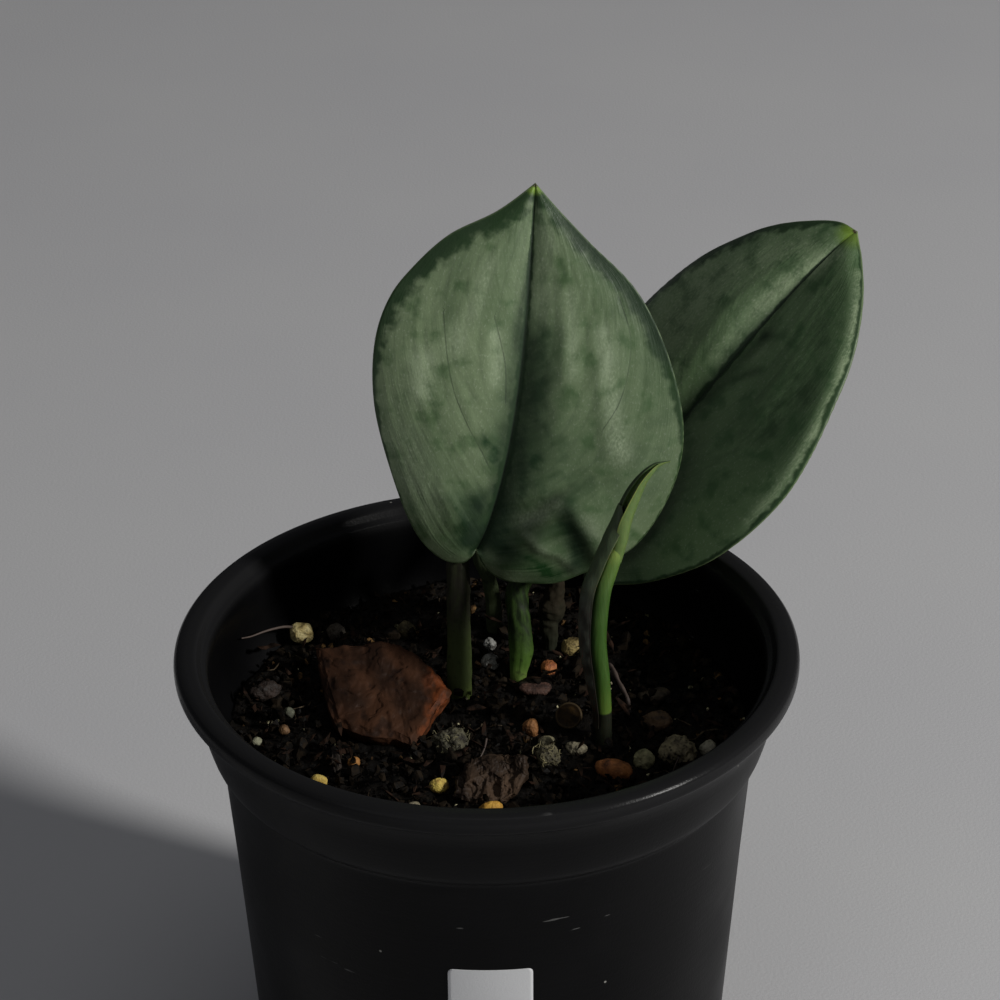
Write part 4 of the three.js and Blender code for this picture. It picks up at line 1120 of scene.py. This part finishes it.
def spear_paint(tree):
    """Yellow green and streaked, with a paler free edge. The left of the back is painted shade, and
    the inner side is painted light.
    """
    inner = node(tree, "ShaderNodeAttribute", out=2, attribute_name="inside")
    around = node(tree, "ShaderNodeAttribute", out=2, attribute_name="around")
    streak = cloud(tree, 0.5, detail=4, stretch=(0.5, 1, 0.3))
    outer = mix(tree, streak, tint("57703a"), tint("748c4a"))
    # Painted shade: the left of the back is darker, on the side away from the lamp.
    left = mix(tree, slope(tree, around, 0.3, 0.12), outer, tint("34452a"))
    # Painted light: the inner side is paler than the leaf's own upper side, as it lies in shade.
    upper = mix(tree, streak, tint("6c8c4e"), tint("88a864"))
    edged = mix(tree, slope(tree, around, 0.965, 0.99), left, tint("98aa58"))
    return mix(tree, inner, edged, upper), slope(tree, streak, 0.2, 0.8, 0.38, 0.5), streak, 0.08


young_skin = finish("young_leaf", spear_paint, Subsurface_Weight=0.08, Subsurface_Scale=0.001)
seat(spear, young_skin, "shoot_green", "rolled_leaf")

# Leaves
# Two broad blades of thin living leaf, each with a sunken midrib, pleats and a green margin. A blade
# is a fan of rows from midrib to margin, as in the CAD model, with finer relief and curled edges.

# base is the blade's notch in mm, and along and across are its directions, all in the CAD frame.
# On a blade x runs across and y along it from the notch, in mm.
# sweep: how far the midrib curves sideways. bend: how far the blade arches from notch to tip.
# fold: depth and width of the midrib's groove.
# crown and roll: how far each half swells forward, and how far its margin falls back.
# edge_width and rib_width: a height on the blade, and how wide the green is there.
# curl: heights with how far the margin turns back there, then how far in it reaches.
# pleats: rise, half-width on the left and on the right, and a line.
# veins: lines of the side veins that show.
# The last three lists give strength, half-width and line: first of deep green with painted shade
# and shadow in folds, then of dull green with painted shade and shadow, then of painted highlights.
LEAVES = {
    "leaf_front": {
        "base": (-1.8, 16, 116.2), "along": (0.162, 0.188, 0.969), "across": (0.987, -0.031, -0.159),
        "sweep": 3.1, "sweep_power": 0.7, "bend": 2.5, "fold": (0.9, 2.6), "ripple": 1,
        "left": {
            "crown": 2.3, "roll": 0.6, "curl": ([(0, 0.15)], 1.3),
            "edge_width": [(0, 0.3), (20, 0.5), (32, 1.4), (46, 3), (58, 3.3), (64, 4), (73, 2.6)],
            "margin": [
                (0, 0), (-1.6, -2.8), (-5.3, -3.2), (-9.6, -0.9), (-13, 3), (-17.9, 11.9),
                (-24, 27.2), (-25.5, 40), (-23.8, 48.4), (-20.4, 54.4), (-14.6, 61.4), (-6.1, 67.3),
                (0.2, 73.4),
            ],
        },
        "right": {
            "crown": 2.5, "roll": 0,
            "curl": ([(0, 0.3), (20, 0.1), (34, -0.6), (62, -0.7), (73, -0.2)], 1.5),
            "edge_width": [(0, 0.3), (24, 0.4), (36, 1.8), (48, 2.8), (60, 2.8), (73, 2.2)],
            "margin": [
                (0, 0), (1.8, -2.9), (5.7, -5.3), (11.3, -5.3), (16.3, -4.5), (20.8, -2), (24.7, 0.7),
                (31, 6.6), (35.7, 19.3), (35.8, 30), (31.1, 43.4), (22.6, 56.1), (11.8, 64.3), (5, 69.5),
                (0.2, 73.4),
            ],
        },
        "rib_width": [(0, 1.5), (30, 1.1), (50, 0.7), (73, 0.2)],
        "pleats": [
            (1.2, 4.4, 6, [(6.5, 4), (9.5, 16), (11, 28), (10.5, 40), (8, 52)]),
            (0.24, 1.1, 2, [(8.2, 54), (9.8, 47), (11, 40), (12, 33)]),
            (0.4, 1.5, 3, [(15, 50), (17, 43), (18.6, 36), (20.6, 29), (22, 22)]),
            (1.5, 2.8, 6, [
                (14.4, 17), (16.4, 13.6), (19, 10.4), (21.4, 7.2), (23.6, 4.1), (25.4, 1.6), (26.2, 0),
            ]),
            (0.5, 1.2, 1.6, [
                (6.6, 7.4), (9, 5.4), (12.2, 3), (15.8, 2.2), (17.6, 1), (20.1, -1.1), (21.4, -1.8),
            ]),
            (0.2, 1.6, 1.6, [(-9.5, 59), (-9, 53), (-8, 46)]),
            (0.22, 1.5, 1.5, [(-5, 47), (-4, 41), (-3.2, 35), (-3.2, 28)]),
            (0.3, 2.4, 2.4, [(-17.5, 39), (-17, 33), (-15.5, 27)]),
            (0.5, 2.6, 2.6, [(-8.5, 14), (-6, 8), (-4, 3)]),
        ],
        "veins": [
            [
                (-13.5, 47.4), (-12.4, 42.6), (-11.2, 38), (-9.6, 33.4), (-7.4, 29), (-4.8, 24.8),
                (-2, 20.8), (0.2, 17.3),
            ],
            [(-3.7, 47.7), (-0.6, 39.8), (0.1, 37.1), (1, 31)],
            [(19, 55.1), (22.3, 48.3), (23.1, 41.8), (22.3, 34.9), (20, 29.4)],
        ],
        "deep_green_and_shade": [
            (0.7, 0.9, [(1.4, 60), (1.4, 55), (1.2, 49), (1.4, 44)]),
            (0.8, 2, [(3.8, 43.5), (4.4, 38), (4.8, 32), (4.9, 24), (4.2, 16), (3, 8), (2.2, 3)]),
            (0.6, 3, [(4, 9), (4.6, 4), (6.5, 0.5)]),
            (0.75, 2.2, [(16.4, 10.5), (17.6, 7.9), (19.3, 5), (20.4, 2.1), (20.6, 0.6)]),
            (0.8, 3, [(19, 5), (20, 2.4), (20.4, 0)]),
            (0.6, 1.5, [(1.8, 46), (1.9, 40), (2, 33), (2, 26), (1.8, 19), (1.3, 13)]),
            (0.75, 1.8, [(7.5, 67), (14.5, 61.5), (23.5, 53.5), (30, 45)]),
            (0.4, 1.5, [(-8, 65.5), (-15, 60), (-20, 53.5)]),
            (0.95, 3.4, [(-1, 9), (-1.1, 6), (-1.2, 2.5)]),
        ],
        "dull_green_and_shade": [
            (0.9, 3.2, [(4, 4.5), (7, 0.5), (12, -1.6), (16, -3)]),
            (0.85, 1.7, [(-1.8, 23.2), (0.6, 22.8), (0.6, 20)]),
            (0.3, 5, [(-1.6, 67), (-4, 59), (-3.6, 50)]),
            (0.6, 3, [(5, 70), (14, 64), (24, 56.5), (30, 48), (33.5, 39)]),
            (0.65, 4, [(6, 45), (6.4, 35), (6.5, 25), (6.5, 15), (6, 6)]),
            (0.45, 6, [(9, 22), (12, 12), (13, 4)]),
            (0.6, 2.6, [(15, 12.4), (17, 8.6), (19.4, 5), (20.6, 1.6)]),
            (0.4, 2.4, [(1.2, 48), (0.8, 38), (0.6, 28), (0.4, 18)]),
            (0.9, 4.6, [(-2.6, 8.6), (-3, 3)]),
            (0.3, 8, [(-14, 22), (-9, 10)]),
            (0.25, 14, [(16, 64), (20, 48), (22, 34), (22, 20)]),
            (0.35, 1.8, [(-11.4, 59), (-12.3, 53.6), (-12.3, 46)]),
            (0.3, 9, [(17, 62), (26, 50), (31, 36), (31, 20)]),
            (0.3, 8, [(16, 26), (18, 16)]),
        ],
        "painted_highlight": [
            (0.7, 2.6, [(-16, 38), (-15.4, 34.8), (-15, 32)]),
            (0.55, 2.2, [(-10.3, 44), (-10, 41)]),
            (0.5, 1.6, [(-3, 44.5), (-2.2, 40), (-1.8, 36)]),
            (0.45, 1.6, [(-5.8, 58), (-7.2, 53), (-8, 48)]),
            (0.4, 2, [(2.3, 69), (4.6, 63)]),
            (0.5, 1.5, [(10, 54), (11.3, 47), (12.4, 40)]),
            (0.6, 1.8, [(17.3, 48), (19.2, 41), (20.8, 35), (22.5, 30)]),
            (0.9, 2.2, [(23.4, 27.4), (24.2, 25)]),
            (0.45, 0.9, [(8.8, 5.6), (12.2, 3), (15.8, 2.2), (17.6, 1), (20.1, -1.1)]),
            (0.3, 2.2, [(4, 58), (5.6, 50)]),
            (0.6, 1.7, [(13.4, 12.6), (10.4, 10), (7.4, 8.2)]),
            (0.6, 1.6, [(19.6, 11), (22.6, 7), (24.8, 4.6)]),
            (0.35, 4, [(-17, 20), (-12, 10)]),
        ],
    },
    "leaf_rear": {
        "base": (21.2, 28.9, 111), "along": (0.625, 0.14, 0.768), "across": (0.427, -0.885, -0.186),
        "sweep": -0.5, "sweep_power": 4, "bend": 2.7, "fold": (0.8, 3), "ripple": 0.12,
        "left": {
            "crown": 2.6, "roll": 1, "curl": ([(0, 0.4)], 1.5),
            "edge_width": [(0, 1), (35, 1.4), (47, 3), (62, 3.5), (74, 2.2), (80, 0.8)],
            "margin": [
                (0, 0), (-3.2, -3.4), (-6, -6.6), (-11, -6.4), (-18, -2), (-24, 6), (-28.5, 17),
                (-30.4, 29), (-30.4, 40.7), (-27.8, 53.3), (-24.1, 61.2), (-19.5, 68.3), (-13.8, 74),
                (-6.9, 79), (-2.1, 80.2),
            ],
        },
        "right": {
            "crown": 0.4, "roll": 0, "curl": ([(0, 0), (22, 0), (36, 0.8), (60, 1.3), (80, 0.8)], 1.4),
            "edge_width": [(0, 0.6), (20, 1), (40, 1.2), (56, 1), (70, 0.7), (80, 0.3)],
            "margin": [
                (0, 0), (3.2, -3.4), (5.2, -6.4), (9, -4.9), (13.1, -1.6), (17.9, 2.6), (23.8, 9.6),
                (28.6, 17.2), (31.3, 26), (31.7, 36.6), (29.2, 45.8), (24, 56.6), (19.9, 63.4),
                (14.4, 69.5), (9, 73.9), (2.8, 77.6), (-2.1, 80.2),
            ],
        },
        "rib_width": [(0, 1), (30, 0.9), (52, 0.7), (62, 0.4), (80, 0.2)],
        "pleats": [
            (0.4, 3, 3, [(-5, 72), (-7, 62), (-8, 52), (-8, 42)]),
            (0.2, 3, 3, [(9, 62), (12, 50), (13, 38)]),
        ],
        "veins": [],
        "deep_green_and_shade": [
            (0.45, 0.9, [(-2, 66), (-1.4, 61), (-0.6, 57)]),
            (0.6, 2.3, [(0.8, 54.4), (0.9, 51), (0.6, 47.6), (0.1, 43.7), (-0.4, 38.2), (-0.5, 31)]),
            (0.55, 1.1, [(2.6, 54.8), (0.8, 53.4)]),
            (0.5, 1.1, [(6.2, 48.4), (4.4, 46), (2.2, 42.6), (1, 37)]),
        ],
        "dull_green_and_shade": [
            (0.55, 8, [(8, 69), (14, 61), (18, 53), (20, 45)]),
            (0.3, 9, [(12, 50), (14, 32), (10, 18)]),
            (0.2, 8, [(20, 36), (20, 22), (14, 8)]),
        ],
        "painted_highlight": [
            (0.9, 1.8, [(-1.6, 74), (-3, 69), (-4, 63), (-4.4, 57)]),
            (0.4, 4, [(-7, 71), (-10, 66)]),
            (0.45, 1.8, [(-4.2, 56), (-4.2, 50), (-4.2, 44)]),
            (0.9, 1.1, [(6.6, 75), (11.6, 71.2), (16.4, 66.6), (21.4, 59.6), (25.8, 51.4), (28.8, 43.4)]),
            (0.6, 1.1, [(28.8, 43.4), (29.8, 35.6), (29.6, 28)]),
            (0.25, 0.9, [(3.6, 51.8), (3, 49.4)]),
            (0.45, 8, [(-22, 52), (-21, 40), (-17, 28)]),
            (0.4, 5, [(-14, 62), (-16, 52), (-15, 42)]),
        ],
    },
}
BLADE_ROWS = 170
BLADE_COLUMNS = 60
LINE_STEPS = 90
MARGIN_THICK = 0.26
BLADE_THICK = 0.76
RIB_DEPTH = 1.1
# Where the faint side veins leave the midrib, as shares of its length.
VEIN_STARTS = (0.02, 0.05, 0.1, 0.16, 0.22, 0.3, 0.4, 0.52)


def nearest(spots, line):
    """Distance from each spot to the nearest point of a line, in mm."""
    found = np.full(len(spots), 1e9)
    for point in line:
        found = np.minimum(found, np.hypot(spots[:, 0] - point[0], spots[:, 1] - point[1]))
    return found


def even_steps(line, shares):
    """Points of a line at even shares of its length."""
    reach = np.concatenate([[0], np.cumsum(np.linalg.norm(np.diff(line, axis=0), axis=1))])
    return np.stack([np.interp(np.asarray(shares) * reach[-1], reach, line[:, k]) for k in range(2)], 1)


def by_height(rows, y):
    """What the rows of height and value give at each height y."""
    return np.interp(y, [row[0] for row in rows], [row[1] for row in rows])


def noise_at(x, y, z):
    """Soft noise from -1 to 1 at the places x and y, on the level z."""
    return np.array([noise.noise(Vector((*spot, z))) for spot in zip(x, y)])


def blade(name, leaf):
    """A leaf's mesh, with attributes that say how far each point is from midrib, margin and vein."""
    base = np.array(leaf["base"], float)
    along = np.array(leaf["along"], float)
    across = np.array(leaf["across"], float)
    along /= np.linalg.norm(along)
    across /= np.linalg.norm(across)
    face = np.cross(across, along)
    halves = [leaf["left"], leaf["right"]]
    tip_across, length = halves[0]["margin"][-1]
    outlines = [on_line(half["margin"], np.linspace(0, 1, 700)) for half in halves]

    def rib_at(share):
        sweep = leaf["sweep"] * np.sin(math.pi * share ** leaf["sweep_power"])
        return np.stack([tip_across * share + sweep, share * length], -1)

    # The fan of rows, as flat places on the blade.
    steps_up = np.arange(1, BLADE_ROWS) / BLADE_ROWS
    steps_across = np.linspace(-1, 1, 2 * BLADE_COLUMNS + 1)
    edges = [even_steps(outline, steps_up) for outline in outlines]
    rib = rib_at(steps_up**1.3)
    grid = np.stack([rib + abs(value) * (edges[int(value > 0)] - rib) for value in steps_across], 1)
    flat = np.vstack([grid.reshape(-1, 2), [[0, 0], [tip_across, length]]])
    up = np.concatenate([np.repeat(steps_up, len(steps_across)), [0, 1]])
    sideways = np.concatenate([np.tile(steps_across, len(steps_up)), [0, 0]])
    x, y = flat[:, 0], flat[:, 1]
    right = sideways > 0
    out = np.abs(sideways)

    def of_side(read):
        return np.where(right, read(halves[1]), read(halves[0]))

    # How far each place is from the midrib, the margin and the veins, in mm.
    rib_far = nearest(flat, rib_at(np.linspace(0, 1, 300)))
    edge_far = nearest(flat, np.vstack([outline[::2] for outline in outlines]))
    vein_far, seen = np.full(len(flat), 1e9), np.full(len(flat), 1e9)
    for side in (0, 1):
        for start in VEIN_STARTS:
            path = np.linspace(start, min(start + 0.62, 0.97), LINE_STEPS)
            reach = 0.9 - 1.5 * start if start < 0.5 else 0.15
            shares_out = reach * (1 - np.exp(-(path - start) / (0.34 - 0.45 * start)))
            edge = even_steps(outlines[side], path ** (1 / 1.3))
            vein = rib_at(path) + shares_out[:, None] * (edge - rib_at(path))
            vein_far = np.minimum(vein_far, np.where(right == bool(side), nearest(flat, vein), 1e9))
    # The distance from a vein that shows is negative on its left, so that it passes through zero.
    for vein in leaf["veins"]:
        line = on_line(vein, np.linspace(0, 1, 200))
        gaps = np.hypot(x[:, None] - line[:, 0], y[:, None] - line[:, 1])
        gap = gaps.min(1)
        signed = np.where(x < line[gaps.argmin(1), 0], -gap, gap)
        seen = np.where(gap < np.abs(seen), signed, seen)
    # The grain runs along lanes that leave the midrib and bend up to the tip.
    lane = up**1.3 + 0.3 * np.log(1 - 0.94 * np.minimum(out, 0.97))

    # Relief: bend, crowns, midrib fold, pleats, ripples along the lanes, and curled margins.
    height = leaf["bend"] * (0.49 - 4 * (np.clip(y / length, 0, 1) - 0.35) ** 2)
    fade = np.sin(math.pi * np.clip(up, 0.04, 1)) ** 0.6
    height += of_side(lambda half: half["crown"]) * fade * np.sin(math.pi * out**0.9)
    height -= of_side(lambda half: half["roll"]) * out**3 * np.sin(math.pi * np.clip(y / length, 0.08, 1))
    fold_depth, fold_width = leaf["fold"]
    height -= fold_depth * np.exp(-rib_far / fold_width) * (1 - 0.6 * up)
    for rise, half_left, half_right, pleat in leaf["pleats"]:
        line = on_line(pleat, np.linspace(0, 1, LINE_STEPS))
        gaps = np.hypot(x[:, None] - line[:, 0], y[:, None] - line[:, 1])
        at = gaps.argmin(1)
        share = at / (LINE_STEPS - 1)
        half_width = np.where(x > line[at, 0], half_right, half_left)
        taper = np.clip(np.minimum(share, 1 - share) / 0.3, 0, 1)
        height += rise * taper**2 * (3 - 2 * taper) * np.exp(-((gaps.min(1) / half_width) ** 2))
    inside = np.clip(edge_far / 6, 0, 1) * np.clip(rib_far / 4, 0, 1)
    height += 0.45 * noise_at(x * 0.09, y * 0.05, base[0]) * inside
    ripple = leaf["ripple"] * inside * np.clip(1.3 * (1 - up), 0, 1) ** 0.5 * np.clip(5 * up, 0.3, 1)
    height += 0.16 * noise_at(lane * 22 + 50 * right, y * 0.05, base[1]) * ripple
    height += 0.07 * noise_at(lane * 55 + 50 * right, y * 0.1, base[2]) * ripple
    height += 0.1 * noise_at(x * 0.5, y * 0.3, base[2]) * ripple
    height += 0.07 * (1 - np.exp(-((vein_far / 1.2) ** 2))) * inside
    height -= 0.08 * np.exp(-((seen / 0.35) ** 2))
    height -= 0.2 * np.exp(-((rib_far / 0.6) ** 2)) * (1 - up)
    for side in (0, 1):
        rows, reach = halves[side]["curl"]
        curl = by_height(rows, y) * np.exp(-edge_far / reach) * np.clip(rib_far / 5, 0, 1)
        height -= np.where(right == bool(side), curl, 0)
    thick = MARGIN_THICK + (BLADE_THICK - MARGIN_THICK) * np.clip(edge_far / 2.5, 0, 1)
    ridge = RIB_DEPTH * (1 - 0.85 * up) * np.exp(-((rib_far / 1.1) ** 2))

    # Green without silver beside the midrib and the margin: 1 on them, 0 at the green's border.
    green = 1 - rib_far / by_height(leaf["rib_width"], y)
    green = np.maximum(green, 1 - edge_far / of_side(lambda half: by_height(half["edge_width"], y)))

    # Deep green and dull green parts that carry painted shade and shadow, and painted highlights,
    # all with soft borders.
    soft = {key: np.zeros(len(flat)) for key in ("dull_green_and_shade", "deep_green_and_shade", "painted_highlight")}
    for key in soft:
        for strength, half_width, place in leaf[key]:
            far = nearest(flat, on_line(place, np.linspace(0, 1, LINE_STEPS)))
            soft[key] = 1 - (1 - soft[key]) * (1 - strength * np.exp(-((far / half_width) ** 2)))

    middle = base + flat[:, :1] * across + flat[:, 1:] * along
    front = middle + (height + thick / 2)[:, None] * face
    back = middle + (height - thick / 2 - ridge)[:, None] * face
    wide, count = len(steps_across), len(flat)
    notch, tip = count - 2, count - 1
    starts = [r * wide for r in range(len(steps_up))]
    faces = []
    for i in range(wide - 1):
        faces += [(notch, i + 1, i), (tip, starts[-1] + i, starts[-1] + i + 1)]
        for start in starts[:-1]:
            a = start + i
            faces.append((a, a + 1, a + wide + 1, a + wide))
    faces += [tuple(count + k for k in f[::-1]) for f in faces]
    loop = [notch] + [start + wide - 1 for start in starts] + [tip] + starts[::-1]
    for a, b in zip(loop, loop[1:] + loop[:1]):
        faces.append((a, a + count, b + count, b))
    made = piece(name + "_blade", np.vstack([front, back]), faces)
    tip_far = np.hypot(x - tip_across, y - length)
    facts = {"rib": rib_far, "edge": edge_far, "vein": vein_far, "seen": seen, "tip": tip_far}
    facts |= {"green": green, **soft}
    for key, values in facts.items():
        made.data.attributes.new(key, "FLOAT", "POINT").data.foreach_set("value", np.tile(values, 2))
    reverse = np.repeat([0.0, 1.0], count)
    made.data.attributes.new("back", "FLOAT", "POINT").data.foreach_set("value", reverse)
    grain = np.column_stack([lane * length * 0.8 + 40 * right, y, np.zeros(count)])
    for key, values in {"grain": grain, "flat": np.column_stack([flat, np.zeros(count)])}.items():
        attribute = made.data.attributes.new(key, "FLOAT_VECTOR", "POINT")
        attribute.data.foreach_set("vector", (np.tile(values, (2, 1)) * MM).astype(np.float32).ravel())
    return made


def blade_paint(silver, green, dull_shade_green, deep, highlight_colour, silvering, young):
    """A blade's skin: soft patches of silver with painted glints, ragged green along midrib and
    margin, painted shade and shadow, painted highlights, and a pale rim that is partly painted
    highlight.

    Young is how far from the tip, in mm, the leaf is still yellow green.
    """

    def paint(tree):
        keys = ("rib", "edge", "vein", "seen", "tip", "green", "dull_green_and_shade", "deep_green_and_shade", "painted_highlight", "back")
        read = {key: node(tree, "ShaderNodeAttribute", out=2, attribute_name=key) for key in keys}
        grain = node(tree, "ShaderNodeAttribute", out=1, attribute_name="grain")
        flat = node(tree, "ShaderNodeAttribute", out=1, attribute_name="flat")
        patches = cloud(tree, 9, detail=3, stretch=(1, 0.35, 1), place=grain, shift=1.0)
        streaks = cloud(tree, 1.4, detail=3, stretch=(1, 0.16, 1), place=grain, shift=2.0)
        blotches = cloud(tree, 5, detail=4, place=flat, shift=4.0)
        ragged = cloud(tree, 3.2, detail=3, place=flat, shift=5.0)
        cells = cloud(tree, 0.42, detail=3, stretch=(1, 0.6, 1), place=flat)
        cover = sum_of(tree, sum_of(tree, patches, 0.4, "MULTIPLY"), sum_of(tree, streaks, 0.1, "MULTIPLY"))
        cover = sum_of(tree, cover, sum_of(tree, blotches, 1.25, "MULTIPLY"))
        silvered = slope(tree, cover, 0.9 - 0.35 * silvering, 1.15 - 0.25 * silvering)
        face = mix(tree, silvered, tint(green), tint(silver))
        # Painted glints: pale specks on the silvered parts stand in for light sparkling on the cells.
        sparkle = sum_of(tree, slope(tree, cells, 0.55, 0.75, 0, 0.35), silvered, "MULTIPLY")
        lit = mix(tree, sparkle, face, tint("c3cdb8"))
        patchy = sum_of(tree, sum_of(tree, streaks, 0.3, "MULTIPLY"), blotches)
        # Dull green that carries painted shade and painted shadow, broken up by noise.
        uneven = sum_of(tree, read["dull_green_and_shade"], slope(tree, patchy, 0.45, 0.85, 0.55, 1.35), "MULTIPLY")
        with_painted_light = mix(tree, uneven, lit, tint(dull_shade_green))
        # Painted highlights: a paler silver where the highlight strokes lie, speckled by the cells.
        glint = slope(tree, sum_of(tree, cells, blotches), 0.7, 1.25, 0.25, 1)
        highlight_share = sum_of(tree, sum_of(tree, read["painted_highlight"], glint, "MULTIPLY"), 0.8, "MULTIPLY")
        with_painted_light = mix(tree, highlight_share, with_painted_light, tint(highlight_colour))
        torn = sum_of(tree, read["green"], slope(tree, ragged, 0.3, 0.7, -0.35, 0.35))
        bare = slope(tree, torn, -0.2, 0.5)
        banded = mix(tree, sum_of(tree, bare, 0.95, "MULTIPLY"), with_painted_light, tint(deep))
        # Deep green that carries painted shade in the folds and painted shadow of the shoot.
        shaded = sum_of(tree, read["deep_green_and_shade"], slope(tree, patchy, 0.45, 0.85, 0.75, 1.15), "MULTIPLY")
        banded = mix(tree, shaded, banded, tint("112c12"))
        line = slope(tree, read["rib"], 0.4, 0.12, 0, 0.5)
        seen = node(tree, "ShaderNodeMath", {0: read["seen"]}, operation="ABSOLUTE")
        broken = slope(tree, blotches, 0.3, 0.6, 0.15, 0.5)
        vein = sum_of(tree, slope(tree, seen, 0.2, 0.06), broken, "MULTIPLY")
        faint = slope(tree, read["vein"], 0.5, 0.1, 0, 0.12)
        dark = sum_of(tree, sum_of(tree, vein, faint, "MAXIMUM"), line, "MAXIMUM")
        lined = mix(tree, dark, banded, tint("18261a"))
        fresh = mix(tree, slope(tree, read["tip"], young, 1, 0, 0.9), lined, tint("86a83c"))
        tipped = mix(tree, slope(tree, read["tip"], 0.9, 0.4), fresh, tint("3d2f1e"))
        # A thin pale rim on the margin: the edge's own paler tissue, with painted highlight along it.
        front = mix(tree, slope(tree, read["edge"], 0.3, 0.05, 0, 0.5), tipped, tint("7f9468"))
        under = mix(tree, streaks, tint("5f7044"), tint("7a8c60"))
        under_rib = mix(tree, slope(tree, read["rib"], 1.5, 0.6), under, tint("8b9a68"))
        colour = mix(tree, read["back"], front, under_rib)
        rough = slope(tree, sum_of(tree, cells, streaks), 0.7, 1.3, 0.52, 0.36)
        rough = sum_of(tree, rough, sum_of(tree, shaded, 0.3, "MULTIPLY"))
        fine = sum_of(tree, sum_of(tree, cells, 0.6, "MULTIPLY"), streaks)
        return colour, rough, fine, 0.07

    return paint


silver_paint = blade_paint("80936e", "536d46", "20421f", "24401e", "abba9b", silvering=0.9, young=2.6)
dark_paint = blade_paint("738f64", "4a6a42", "274323", "22401c", "b8cba2", silvering=0.82, young=5)
front_leaf = blade("leaf_front", LEAVES["leaf_front"])
seat(front_leaf, finish("silver_blade", silver_paint, Specular_IOR_Level=0.5), "leaf_silver", "leaf_front")
rear_leaf = blade("leaf_rear", LEAVES["leaf_rear"])
seat(rear_leaf, finish("dark_blade", dark_paint, Specular_IOR_Level=0.5), "leaf_dark", "leaf_rear")

low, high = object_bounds()
